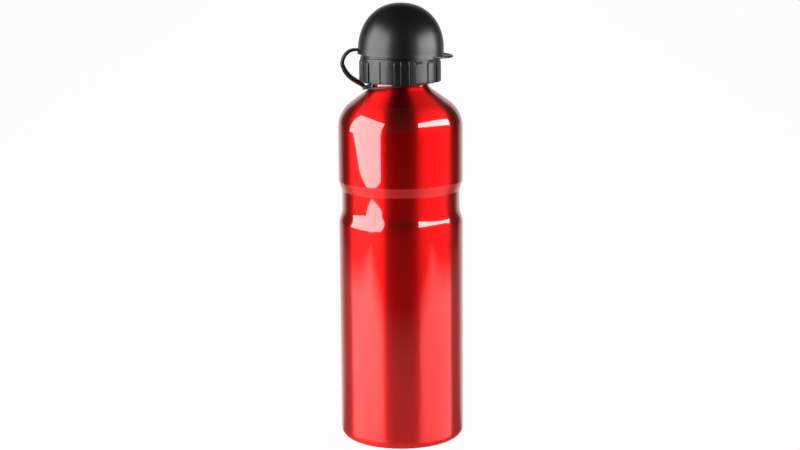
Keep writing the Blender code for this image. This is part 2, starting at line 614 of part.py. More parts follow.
def make_strap():
    half_gap_turn = SEAT_GAP / 2 / STRAP_LOOP_RADIUS
    cover_end = (-(COVER_RIM_RADIUS + SEAT_GAP), COVER_LOW + STRAP_COVER_RISE)
    upper = [cover_end]
    upper += arc(LOOP_MIDDLE_X, LOOP_MIDDLE_Z, STRAP_LOOP_RADIUS, STRAP_LOOP_RADIUS,
                 math.pi - STRAP_UPPER_TURN, math.pi - half_gap_turn, STRAP_ARC_STEPS)
    strap_piece("strap_upper", upper)
    lower = arc(LOOP_MIDDLE_X, LOOP_MIDDLE_Z, STRAP_LOOP_RADIUS, STRAP_LOOP_RADIUS,
                math.pi + half_gap_turn, math.pi + STRAP_LOWER_TURN, STRAP_ARC_STEPS)
    foot_x = -(KNUCKLE_REACH + SEAT_GAP)
    foot_z = RING_MIDDLE - KNUCKLE_REACH * math.sin(RING_TILT)
    lower += [(foot_x - STRAP_FOOT_RUN, foot_z), (foot_x, foot_z)]
    strap_piece("strap_lower", lower)


def make_tether_ring():
    low = RING_MIDDLE - RING_THICKNESS / 2
    high = RING_MIDDLE + RING_THICKNESS / 2
    outline = [(RING_BORE_RADIUS, low), (RING_RADIUS - EDGE_CHAMFER, low),
               (RING_RADIUS, low + EDGE_CHAMFER), (RING_RADIUS, high - EDGE_CHAMFER),
               (RING_RADIUS - EDGE_CHAMFER, high), (RING_BORE_RADIUS, high)]
    ring_mesh = turned_mesh("tether_ring", outline)
    half = KNUCKLE_WIDTH / 2
    inner = RING_BORE_RADIUS + RING_WIDTH / 2
    plan = [(-KNUCKLE_REACH, -half), (-inner, -half), (-inner, half), (-KNUCKLE_REACH, half)]
    knuckle_low = RING_MIDDLE - KNUCKLE_THICKNESS / 2
    knuckle_high = RING_MIDDLE + KNUCKLE_THICKNESS / 2
    knuckle = block_mesh("guide_knuckle", [([(x, y, knuckle_low) for x, y in plan],
                                            [(x, y, knuckle_high) for x, y in plan])])
    turn_about_y(ring_mesh, -RING_TILT, RING_MIDDLE)
    turn_about_y(knuckle, -RING_TILT, RING_MIDDLE)
    ring = add_object("tether_ring", ring_mesh, black_plastic("black_ring_plastic"))
    combine(ring, helper("guide_knuckle", knuckle), 'UNION')


def main():
    for thing in list(bpy.data.objects):
        bpy.data.objects.remove(thing)
    make_bottle_shell()
    make_screw_cap()
    make_lip_gasket()
    make_vent_valve()
    make_valve_stem()
    make_spout_seal()
    make_spout()
    make_dust_cover()
    make_strap()
    make_tether_ring()


main()
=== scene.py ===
"""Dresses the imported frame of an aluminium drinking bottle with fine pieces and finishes.

Metres, +Z up. The origin is the middle of the ring that the bottle stands on, the dust cover's
tab points to +X and the strap lies at -X.
"""

import json
import math

import bmesh
import bpy
from mathutils import Matrix, Vector

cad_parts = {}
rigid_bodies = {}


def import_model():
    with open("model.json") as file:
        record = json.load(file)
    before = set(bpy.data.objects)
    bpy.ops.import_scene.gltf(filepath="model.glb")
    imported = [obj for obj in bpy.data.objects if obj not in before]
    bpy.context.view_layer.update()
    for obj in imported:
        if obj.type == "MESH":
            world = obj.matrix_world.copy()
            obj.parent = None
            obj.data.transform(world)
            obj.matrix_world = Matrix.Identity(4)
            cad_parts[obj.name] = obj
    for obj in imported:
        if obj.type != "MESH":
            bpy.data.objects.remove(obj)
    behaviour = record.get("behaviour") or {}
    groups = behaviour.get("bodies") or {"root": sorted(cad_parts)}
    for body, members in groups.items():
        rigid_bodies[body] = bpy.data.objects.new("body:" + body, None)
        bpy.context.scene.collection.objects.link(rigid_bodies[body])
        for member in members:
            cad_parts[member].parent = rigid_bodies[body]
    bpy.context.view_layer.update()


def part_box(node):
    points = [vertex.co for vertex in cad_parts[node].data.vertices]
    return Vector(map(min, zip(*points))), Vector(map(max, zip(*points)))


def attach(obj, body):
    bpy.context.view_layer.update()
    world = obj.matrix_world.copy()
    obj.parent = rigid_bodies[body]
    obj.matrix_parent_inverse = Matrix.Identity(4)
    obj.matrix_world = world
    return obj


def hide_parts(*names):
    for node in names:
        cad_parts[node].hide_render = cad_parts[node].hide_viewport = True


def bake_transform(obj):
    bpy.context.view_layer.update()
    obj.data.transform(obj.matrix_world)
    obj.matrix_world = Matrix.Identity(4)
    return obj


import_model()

bl_info = {
    "name": "Drinking bottle pieces",
    "version": (1, 0, 0),
    "blender": (4, 5, 0),
    "location": "3D View > Sidebar > Bottle",
    "description": "Builds the fine pieces, finishes and studio of an aluminium drinking bottle",
    "category": "Object",
}

MM = 0.001
SHELL_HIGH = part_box("bottle_shell")[1]
CAP_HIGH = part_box("screw_cap")[1]
STRAP_BOX_LOW, STRAP_BOX_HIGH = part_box("strap_upper")
CREASE = math.radians(40)
SMALL_ROUND = 0.0003
SEAT_GAP = 0.0003
# A rounded corner's arc takes up at most this share of an edge beside it
ARC_EDGE_SHARE = 0.49

# Bottle shell, from the standing ring up
WALL = 0.0008
RECESS_DEPTH = 0.0080
RECESS_LIP = 0.0012
RECESS_LIP_START = math.radians(-144.0)
STAND_WIDTH = 0.0022
HEEL_WIDTH = 0.0069
HEEL_HEIGHT = 0.0058
LOWER_BODY_TOP = 0.1303
GRIP_LOW = 0.1388
GRIP_LOW_ROWS = 24
GRIP_LOW_TAIL = 0.0045
GRIP_LOW_TAIL_DEPTH = 0.00006
GRIP_HIGH = 0.1498
GRIP_HIGH_ROUND = 0.0016
UPPER_BODY_LOW = 0.1554
SHOULDER_LOW = 0.1863
SHOULDER_RADIUS = 0.0189
SHOULDER_TURN = math.radians(54.5)
NECK_BLEND_RADIUS = 0.0048
NECK_STEP = 0.0012
LIP_ROLL = 0.0005
SHELL_TURN_STEPS = 240

# Thread, shared by the neck and the cap
THREAD_PITCH = 0.0035
THREAD_LOW = 0.215972
THREAD_HIGH = 0.227472
THREAD_DEPTH = 0.0009
THREAD_BASE_WIDTH = 0.0019
THREAD_CREST_WIDTH = 0.0007
NECK_THREAD_TURNS = 2.0
CAP_THREAD_TURNS = 1.6
THREAD_FADE_TURNS = 0.12
NECK_THREAD_ROW_HEIGHT = 0.00022
CAP_THREAD_ROW_HEIGHT = 0.00033

# Screw cap
COLLAR_RADIUS = 0.0231
COLLAR_LOW = 0.2135
SLEEVE_LOW = 0.2164
SLEEVE_BORE = 0.0190
SLEEVE_RADIUS = 0.0206
SLOT_RADIUS = 0.0215
COLLAR_EDGE_ROUND = 0.00045
STEP_WIDTH = 0.0005
STEP_LOW = 0.227772
DECK_LOW = 0.230572
DECK_TOP = 0.232372
DECK_ROUND = 0.0011
CAP_CREASE = math.radians(50)
RIB_START_TURN = math.radians(-83.0)
RIB_LEFT_RUN = 0.00044
RIB_RIGHT_RUN = 0.00058
RIB_WALL_EASE_SHARE = 0.2
RIB_TOP_RUN = 0.0026
RIB_TOP_FINE_SHARE = 1.5
RIB_CORNER_ROUND = 0.0004
RIB_TOP_GAP = 0.0020
TOWER_RADIUS = 0.0080
TOWER_FLANGE_RADIUS = 0.0089
TOWER_BORE = 0.0064
TOWER_FLANGE_LOW = 0.239472
TOWER_TOP = 0.242672
SEAL_GROOVE_LOW = 0.240372
SEAL_GROOVE_WIDTH = 0.0014
SEAL_GROOVE_DEPTH = 0.0008
STEM_SEAT = 0.235072
STEM_SEAT_WIDTH = 0.0011
VENT_PLACE_RADIUS = 0.0132
VENT_HOLE_RADIUS = 0.0014

# Where points stand round half a rib: shares of the way from its middle to its wall, of the wall's run
# about the wall's middle, and of the way on to the middle of the gap
RIB_TOP_SHARES = (0.35, 0.7)
RIB_WALL_SHARES = (-0.7, -0.5, -0.42, -0.3, 0.0, 0.3, 0.42, 0.5, 0.7)
RIB_GAP_SHARES = (0.25, 0.6)

# Spout and the parts inside it
SPOUT_LOW = 0.232972
SPOUT_TOP = 0.249272
SPOUT_FLANGE_RADIUS = 0.0112
SPOUT_FLANGE_HEIGHT = 0.0014
SPOUT_RADIUS = 0.0106
SPOUT_BORE = 0.0094
SPOUT_LIP_HEIGHT = 0.0012
SPOUT_CEILING = 0.242972
NOZZLE_RADIUS = 0.0088
NOZZLE_WAIST_RADIUS = 0.0077
NOZZLE_BORE_RADIUS = 0.0060
NOZZLE_LIP_HEIGHT = 0.0022
NOZZLE_TOP_WALL = 0.0014
NOZZLE_ROUND = 0.0007
STEM_PIN_RADIUS = 0.0020
STEM_RING_WALL = 0.0015
STEM_RING_HEIGHT = 0.0020
STEM_TAIL = 0.0008
STEM_SPOKE_WIDTH = 0.0016
STEM_SPOKE_COUNT = 3
GASKET_THICKNESS = 0.0011
VENT_DISC_RADIUS = 0.0020
VENT_DISC_THICKNESS = 0.0007
VENT_STEM_RADIUS = 0.0011
VENT_BULB_RADIUS = 0.0015
VENT_BULB_HEIGHT = 0.0007

# Dust cover
COVER_LOW = 0.228372
COVER_MIDDLE = 0.2312
COVER_SKIRT_BORE = 0.0237
COVER_RIM_RADIUS = 0.0253
COVER_RADIUS = 0.0250
COVER_HEIGHT = 0.0277
COVER_FULLNESS = 2.17
COVER_SHIFT = 0.0004
COVER_RIM_ROUND = 0.0006
COVER_SKIRT_ROW_SHARES = (0.25, 0.5, 0.75)
COVER_LEDGE_WIDTH = 0.0015
COVER_LEDGE_LOW = 0.233680
COVER_LEDGE_HEIGHT = 0.0014
TAB_RADIUS = 0.0182
TAB_LOW = 0.0006
TAB_BLEND = 0.0014

# The thumb tab in rows, each a share of the way out and a height in millimetres: over the tab's top edge
# from its root across the dished top to the rim, then over its underside back to the root
TAB_TOP_ROWS = ((0.0, 0.7), (0.02, 0.28), (0.07, 0.02), (0.18, -0.48), (0.42, -0.6), (0.72, -0.48),
                (0.84, -0.06), (0.9, 0.02), (0.955, -0.12), (0.99, -0.4))
TAB_UNDER_ROWS = ((0.985, 0.3), (0.95, 0.08), (0.86, 0.0), (0.5, 0.0), (0.12, 0.0), (0.0, -0.2))

# Strap and neck ring. The strap is narrower and thinner at its root on the cover, and its foot swells
# after the hinge and thins towards the ring, each by a share of its size and over a share of its length
STRAP_EDGE_ROUND = 0.0011
STRAP_ROOT_LENGTH_SHARE = 0.9
STRAP_ROOT_NARROWING_SHARE = 0.25
STRAP_ROOT_THINNING_SHARE = 0.36
STRAP_FOOT_SWELLING_SHARE = 0.12
STRAP_FOOT_THINNING_SHARE = 0.192
STRAP_FOOT_CHANGE_LENGTH_SHARE = 0.4
RING_BORE_RADIUS = 0.0187
RING_RADIUS = 0.0209
RING_MIDDLE = 0.2126
RING_ROUND = 0.00045
KNUCKLE_REACH = 0.0221
KNUCKLE_WIDTH = 0.0076
KNUCKLE_THICKNESS = 0.0021
KNUCKLE_FLAT_SHARE = 0.86
KNUCKLE_FADE_SHARE = 0.22
KNUCKLE_SLOPE_SHARE = 0.5

# The strap's middle line from the dust cover round to the ring, as (x, z) from the axis and the base
STRAP_TOP_ROUTE = (
    (-0.0243, 0.23185), (-0.0261, 0.23192), (-0.0278, 0.23168), (-0.0294, 0.23103),
    (-0.0310, 0.22983), (-0.0323, 0.22815), (-0.0332, 0.22618), (-0.03355, 0.22460),
    (-0.0336, 0.223272),
)
STRAP_FOOT_ROUTE = (
    (-0.0336, 0.223272), (-0.0330, 0.22175), (-0.0320, 0.21970), (-0.0304, 0.21750),
    (-0.0284, 0.21555), (-0.0254, 0.21355), (-0.0229, 0.21200), (-0.0212, 0.2107),
)

# The camera's place, turn and lens
CAMERA_PLACE = (0.0, -1.0622, 0.3245)
CAMERA_PITCH = math.radians(90 - 10.478)
CAMERA_PAN = math.radians(0.035)
CAMERA_ROLL = math.radians(-0.421)
CAMERA_LENS = 82.16

# Each soft lamp's name, degrees round the bottle from its front, distance, height, width and height of
# its face, roll in degrees and brightness. They all face the bottle's axis level
LAMPS = (
    ("left_soft_lamp", -68.0, 0.8, 0.423, (1.09, 0.80), -8.0, 5.2),
    ("right_soft_lamp", 69.5, 1.0, 0.61, (1.42, 0.33), -8.0, 8.0),
    ("right_cap_lamp", 76.0, 1.0, 0.34, (1.1, 0.62), 0.0, 5.8),
    ("right_table_lamp", 69.5, 1.0, 0.19, (1.42, 0.30), 0.0, 3.5),
)
CAP_LAMP = "right_cap_lamp"
SHELL_LAMP = "right_soft_lamp"
TABLE_LAMP = "right_table_lamp"
CAP_PIECES = ("ribbed_screw_cap", "domed_cover", "strap_top_half", "strap_foot_half", "neck_ring")
LAMP_WATTS_PER_SQUARE_METRE = 4.0

# The floor and the table on it. The table's pale tone is a painted pool of light that fades to painted shade
# on a dark floor round it; the lamps light both alike. In what the bottle mirrors, white comes in between
# the two back shares, which are how much of a direction points straight back
FLOOR_REACH = 14.0
FLOOR_STEPS = 4
# Pale table tone, tinted pink with painted red bounce light from the bottle
TABLE_TONE_WITH_RED_BOUNCE = "D98383"
TABLE_ROUGHNESS = 0.32
TABLE_TONE_SHARES = (0.97, 1.03)
TABLE_REACH = 0.42
TABLE_FRONT = 0.24
TABLE_FADE = 0.16
TABLE_BACK_SHARES = (0.62, 0.90)
MIRRORED_TABLE = 0.75
SEEN_WHITE_SHARE = 0.97
# Painted shade: the dark floor round the table's painted pool of light
PAINTED_FLOOR_SHADE = (0.02, 0.02, 0.02, 1.0)
WHITE = (1.0, 1.0, 1.0, 1.0)

# The room round it, with a white backdrop that fades between the two high shares, which are how much of a
# direction points straight up
ROOM_DARK = 0.04
ROOM_BACK_SHARES = (0.78, 0.90)
ROOM_HIGH_SHARES = (0.3, 0.6)
BACKDROP_TOP_SHARE = 0.35
MIRRORED_BACKDROP = 0.6


def linear(code):
    """The linear colour of an sRGB hex value."""
    shares = [int(code[place:place + 2], 16) / 255 for place in (0, 2, 4)]
    return [share / 12.92 if share <= 0.04045 else ((share + 0.055) / 1.055) ** 2.4 for share in shares]


def length(name, description, default):
    return bpy.props.FloatProperty(name=name, description=description, default=default, min=0.0,
                                   precision=5, unit='LENGTH')


def turn(name, description, degrees):
    return bpy.props.FloatProperty(name=name, description=description, default=math.radians(degrees),
                                   min=0.0, unit='ROTATION')


def colour(name, description, code):
    return bpy.props.FloatVectorProperty(name=name, description=description, default=linear(code),
                                         size=3, min=0.0, max=1.0, subtype='COLOR')


class ShellSizes(bpy.types.PropertyGroup):
    body_radius: length("Body radius", "Half the width of the body", SHELL_HIGH.x)
    grip_depth: length("Grip depth", "How far the grip groove goes in", 0.0019)
    neck_radius: length("Neck radius", "Outside radius of the neck under the thread", 0.0165)
    lip_top: length("Lip height", "Height of the rolled lip", SHELL_HIGH.z)


class CapSizes(bpy.types.PropertyGroup):
    collar_radius: length("Collar radius", "Outside radius of the collar between its ribs", COLLAR_RADIUS)
    rib_count: bpy.props.IntProperty(name="Ribs", description="Grip ribs round the collar",
                                     default=17, min=3, max=40)
    rib_height: length("Rib height", "How far a grip rib stands out", CAP_HIGH.x - COLLAR_RADIUS)
    rib_turn: turn("Rib width", "Angle that one grip rib spans", 12.4)


class CoverSizes(bpy.types.PropertyGroup):
    wall: length("Cover wall", "Wall of the dust cover", 0.00135)
    tilt: turn("Cover tilt", "How far the cover leans to its tab", 3.3)
    tab_length: length("Tab length", "How far the thumb tab stands out", 0.0053)
    tab_thickness: length("Tab thickness", "Height of the thumb tab's rim", 0.0012)


class TetherSizes(bpy.types.PropertyGroup):
    strap_width: length("Strap width", "Width of the strap", STRAP_BOX_HIGH.y - STRAP_BOX_LOW.y)
    strap_thickness: length("Strap thickness", "Thickness of the strap at its bend", 0.0023)
    ring_thickness: length("Ring thickness", "Thickness of the ring round the neck", 0.0015)
    ring_tilt: turn("Ring tilt", "How far the strap pulls the ring", 7.4)


class FinishColours(bpy.types.PropertyGroup):
    lacquer: colour("Lacquer", "Red lacquer over bright aluminium", "E71817")
    lining: colour("Lining", "Thin gold-toned lining inside the bottle", "C9B78C")
    hard_plastic: colour("Cap plastic", "Black polypropylene of the cap and the dust cover", "0E0E0F")
    soft_plastic: colour("Strap plastic", "Black polyethylene of the strap and the ring", "121213")
    spout_plastic: colour("Spout plastic", "Milky polyethylene of the spout", "E9EBEC")
    stem_plastic: colour("Stem plastic", "White plastic of the closing stem", "E8E8E6")
    silicone: colour("Silicone", "Clear grey silicone of the seals", "CFCFCC")


def arc(middle, sizes, start, end, steps):
    """Points (radius, height) on an oval arc, both ends with it."""
    points = []
    for step in range(steps + 1):
        angle = start + (end - start) * step / steps
        points.append((middle[0] + sizes[0] * math.cos(angle), middle[1] + sizes[1] * math.sin(angle)))
    return points


def swell(share):
    """A smooth rise from 0 to 1."""
    share = min(max(share, 0.0), 1.0)
    return share * share * (3 - 2 * share)


def straight_ramp(share):
    """A straight rise from 0 to 1 with softly rounded ends."""
    share = min(max(share, 0.0), 1.0)
    ease = RIB_WALL_EASE_SHARE
    steepness = 1.0 / (1.0 - ease)
    if share < ease:
        return steepness * share * share / (2 * ease)
    if share > 1.0 - ease:
        return 1.0 - steepness * (1.0 - share) ** 2 / (2 * ease)
    return steepness * (share - ease / 2)


def rounded(corners, steps=5, closed=False):
    """An outline through corners (radius, height, rounding), with an arc in place of each rounded one."""
    points = []
    count = len(corners)
    for place, (r, z, rounding) in enumerate(corners):
        here = Vector((r, z))
        if rounding <= 0.0 or (not closed and place in (0, count - 1)):
            points.append((r, z))
            continue
        before = Vector(corners[place - 1][:2]) - here
        after = Vector(corners[(place + 1) % count][:2]) - here
        half = before.angle(after) / 2
        most = ARC_EDGE_SHARE * min(before.length, after.length)
        reach = min(rounding / math.tan(half), most)
        size = reach * math.tan(half)
        middle = here + (before.normalized() + after.normalized()).normalized() * size / math.sin(half)
        first = here + before.normalized() * reach - middle
        sweep = (math.pi - 2 * half) * (1 if before.cross(after) < 0 else -1)
        for step in range(steps + 1):
            spot = middle + Matrix.Rotation(sweep * step / steps, 2) @ first
            points.append((spot.x, spot.y))
    return points


def rounded_box(left, right, low, high, rounding, steps):
    """The closed outline of a box with rounded corners."""
    corners = [(left, low), (right, low), (right, high), (left, high)]
    return rounded([(r, z, rounding) for r, z in corners], steps, closed=True)


def even_rows(radius, low, high, count):
    return [(radius, low + (high - low) * place / count) for place in range(count + 1)]


def even_angles(steps):
    return [math.tau * step / steps for step in range(steps)]


def ridge_height(angle, z, start, turns):
    """How much of the thread's depth stands at one place, from 0 to 1."""
    share = (angle % math.tau) / math.tau
    along = share + round((z - start) / THREAD_PITCH - share)
    offset = abs(z - start - THREAD_PITCH * along)
    flank = (THREAD_BASE_WIDTH - THREAD_CREST_WIDTH) / 2
    height = swell((THREAD_BASE_WIDTH / 2 - offset) / flank)
    return height * swell(min(along, turns - along) / THREAD_FADE_TURNS)


def turned(work, outline, angles, mould=None):
    """Adds a body turned about Z. mould(angle, place, r, z) may move a point of the outline."""
    rows = []
    for place, (r, z) in enumerate(outline):
        if r <= 0.0:
            rows.append([work.verts.new((0.0, 0.0, z))])
            continue
        row = []
        for angle in angles:
            here_r, here_z = mould(angle, place, r, z) if mould else (r, z)
            row.append(work.verts.new((here_r * math.cos(angle), here_r * math.sin(angle), here_z)))
        rows.append(row)
    pairs = list(zip(rows, rows[1:]))
    if len(rows[0]) > 1:
        pairs.append((rows[-1], rows[0]))
    faces = []
    for one, other in pairs:
        for step in range(len(angles)):
            after = (step + 1) % len(angles)
            corners = [one[step % len(one)], one[after % len(one)]]
            corners += [other[after % len(other)], other[step % len(other)]]
            faces.append(work.faces.new(list(dict.fromkeys(corners))))
    return faces


def make_piece(name, work, materials, crease=CREASE):
    """A smooth shaded object from finished mesh work."""
    bmesh.ops.recalc_face_normals(work, faces=work.faces)
    mesh = bpy.data.meshes.new(name)
    work.to_mesh(mesh)
    work.free()
    mesh.shade_smooth()
    mesh.set_sharp_from_angle(angle=crease)
    for material in materials:
        mesh.materials.append(material)
    piece = bpy.data.objects.new(name, mesh)
    bpy.context.scene.collection.objects.link(piece)
    return piece


def turned_piece(name, outline, material, steps=96, place=(0.0, 0.0, 0.0)):
    """A whole turned piece at its place. A tool that only cuts has no material."""
    work = bmesh.new()
    turned(work, outline, even_angles(steps))
    bmesh.ops.translate(work, verts=work.verts, vec=place)
    return make_piece(name, work, [material] if material else [])


def place_piece(piece, body, node):
    """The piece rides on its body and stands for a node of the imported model."""
    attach(piece, body)
    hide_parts(node)


def tilt_about_y(work, angle, height):
    middle = Matrix.Translation((0.0, 0.0, height))
    tilt = middle @ Matrix.Rotation(angle, 4, 'Y') @ middle.inverted()
    bmesh.ops.transform(work, matrix=tilt, verts=work.verts)


def carve(piece, tool, operation):
    """Joins a tool to a piece or cuts it out, and removes the tool."""
    modifier = piece.modifiers.new(tool.name, 'BOOLEAN')
    modifier.operation = operation
    modifier.solver = 'EXACT'
    modifier.object = tool
    bpy.context.view_layer.update()
    result = bpy.data.meshes.new_from_object(piece.evaluated_get(bpy.context.evaluated_depsgraph_get()))
    piece.modifiers.clear()
    old, piece.data = piece.data, result
    bpy.data.meshes.remove(old)
    bpy.data.objects.remove(tool)


def link_sockets(tree, thing, links):
    """Links sources into a node's sockets. A source is an output, or a node for its first output."""
    for socket, source in links.items():
        result = source.outputs[0] if isinstance(source, bpy.types.Node) else source
        tree.links.new(result, thing.inputs[socket])


def add_node(tree, kind, values=None, links=None, **settings):
    """Adds a shader node with its own settings, its sockets' values and the links into it."""
    thing = tree.nodes.new("ShaderNode" + kind)
    for setting, value in settings.items():
        setattr(thing, setting, value)
    for socket, value in (values or {}).items():
        thing.inputs[socket].default_value = value
    link_sockets(tree, thing, links or {})
    return thing


def new_material(name, shader_values):
    """A material whose shader has these settings, and the place on the object that patterns follow."""
    material = bpy.data.materials.new(name)
    material.use_nodes = True
    tree = material.node_tree
    shader = tree.nodes["Principled BSDF"]
    for socket, value in shader_values.items():
        shader.inputs[socket].default_value = value
    where = add_node(tree, "TexCoord").outputs["Object"]
    return material, tree, shader, where


def per_metre(size_mm):
    """How often a pattern of this size repeats in a metre."""
    return 1.0 / (size_mm * MM)


def lacquered_brushed_aluminium(tint):
    """Lathe-brushed aluminium under clear red lacquer: bright red bands and sharp white gloss.

    The real brush lines are about 0.05 mm apart; they are drawn 0.5 mm apart so that they show.
    """
    material, tree, shader, where = new_material("lacquered_brushed_aluminium", {
        "Metallic": 1.0, "Anisotropic": 0.93, "Anisotropic Rotation": 0.25,
        "Coat Weight": 1.0, "Coat Roughness": 0.03, "Coat IOR": 1.7,
    })
    lines = add_node(tree, "Mapping", {"Scale": (per_metre(60), per_metre(60), per_metre(0.5))},
                     {"Vector": where})
    brushing = add_node(tree, "TexNoise", {"Scale": 1.0, "Detail": 3.0, "Roughness": 0.6}, {"Vector": lines})
    film = add_node(tree, "TexNoise", {"Scale": per_metre(22), "Detail": 1.5}, {"Vector": where})
    depth = add_node(tree, "MapRange", {"To Min": 0.93, "To Max": 1.05}, {"Value": film})
    streak = add_node(tree, "MapRange", {"To Min": 0.95, "To Max": 1.05}, {"Value": brushing})
    shade = add_node(tree, "Math", None, {0: depth, 1: streak}, operation='MULTIPLY')
    mixed = add_node(tree, "VectorMath", {0: tint}, {"Scale": shade}, operation='SCALE')
    rough = add_node(tree, "MapRange", {"To Min": 0.40, "To Max": 0.48}, {"Value": brushing})
    grooves = add_node(tree, "Bump", {"Strength": 0.12, "Distance": 0.01 * MM}, {"Height": brushing})
    peel = add_node(tree, "TexNoise", {"Scale": per_metre(3.5), "Detail": 1.0}, {"Vector": where})
    skin = add_node(tree, "Bump", {"Strength": 0.1, "Distance": 0.02 * MM}, {"Height": peel})
    around = add_node(tree, "Tangent", direction_type='RADIAL', axis='Z')
    link_sockets(tree, shader, {"Base Color": mixed, "Roughness": rough, "Normal": grooves,
                                "Coat Normal": skin, "Tangent": around})
    return material


def lined_aluminium(tint):
    """Pressed aluminium under a thin baked lining: a warm, dull metal sheen inside the bottle."""
    material, tree, shader, where = new_material("lined_aluminium", {
        "Metallic": 0.85, "Coat Weight": 0.4, "Coat Roughness": 0.25,
    })
    cloud = add_node(tree, "TexNoise", {"Scale": per_metre(9), "Detail": 3.0}, {"Vector": where})
    rough = add_node(tree, "MapRange", {"To Min": 0.38, "To Max": 0.55}, {"Value": cloud})
    depth = add_node(tree, "MapRange", {"To Min": 0.88, "To Max": 1.06}, {"Value": cloud})
    mixed = add_node(tree, "VectorMath", {0: tint}, {"Scale": depth}, operation='SCALE')
    link_sockets(tree, shader, {"Base Color": mixed, "Roughness": rough})
    return material


def moulded_plastic(name, tint, roughness, grain_mm, grain_depth_mm, soak_share, soak_mm):
    """Injection moulded plastic: a fine eroded grain and faint flow marks that break up the sheen.

    A share of the light soaks in and comes out again a little further on.
    """
    material, tree, shader, where = new_material(name, {
        "IOR": 1.49, "Subsurface Weight": soak_share, "Subsurface Radius": (1.0, 1.0, 1.0),
        "Subsurface Scale": soak_mm * MM,
    })
    flow = add_node(tree, "TexNoise", {"Scale": per_metre(12), "Detail": 2.0, "Distortion": 0.6},
                    {"Vector": where})
    grain = add_node(tree, "TexNoise", {"Scale": per_metre(grain_mm), "Detail": 2.0}, {"Vector": where})
    change = 0.04
    sheen = add_node(tree, "MapRange", {"To Min": roughness - change, "To Max": roughness + change},
                     {"Value": flow})
    fine = add_node(tree, "MapRange", {"To Min": -change, "To Max": change}, {"Value": grain})
    rough = add_node(tree, "Math", None, {0: sheen, 1: fine}, operation='ADD')
    depth = add_node(tree, "MapRange", {"To Min": 0.9, "To Max": 1.1}, {"Value": flow})
    mixed = add_node(tree, "VectorMath", {0: tint}, {"Scale": depth}, operation='SCALE')
    skin = add_node(tree, "Bump", {"Strength": 0.35, "Distance": grain_depth_mm * MM}, {"Height": grain})
    link_sockets(tree, shader, {"Base Color": mixed, "Roughness": rough, "Normal": skin})
    return material


# Each plastic's colour in the panel, roughness, grain width and depth in millimetres, and the share of the
# light that soaks in and how many millimetres it goes
PLASTICS = {
    # Satin black that mirrors the soft lamps as broad grey bands
    "moulded_polypropylene": ("hard_plastic", 0.34, 0.45, 0.006, 0.0, 1.0),
    # Softer black with a duller, slightly waxy sheen
    "moulded_polyethylene": ("soft_plastic", 0.42, 0.5, 0.008, 0.0, 1.0),
    # Unpigmented plastic that glows softly where light soaks into it
    "milky_polyethylene": ("spout_plastic", 0.30, 0.6, 0.004, 0.6, 1.5),
    # Hard white plastic with a clean gloss
    "white_acetal": ("stem_plastic", 0.28, 0.5, 0.003, 0.0, 1.0),
    # Dull grey rubber that looks slightly see-through
    "silicone_rubber": ("silicone", 0.46, 0.4, 0.006, 0.5, 1.0),
}


def finish_named(name):
    """The finish of this name, made once from the colours in the panel."""
    found = bpy.data.materials.get(name)
    if found:
        return found
    colours = bpy.context.scene.bottle_colours
    if name == "lacquered_brushed_aluminium":
        return lacquered_brushed_aluminium(colours.lacquer)
    if name == "lined_aluminium":
        return lined_aluminium(colours.lining)
    tint, *surface = PLASTICS[name]
    return moulded_plastic(name, getattr(colours, tint), *surface)


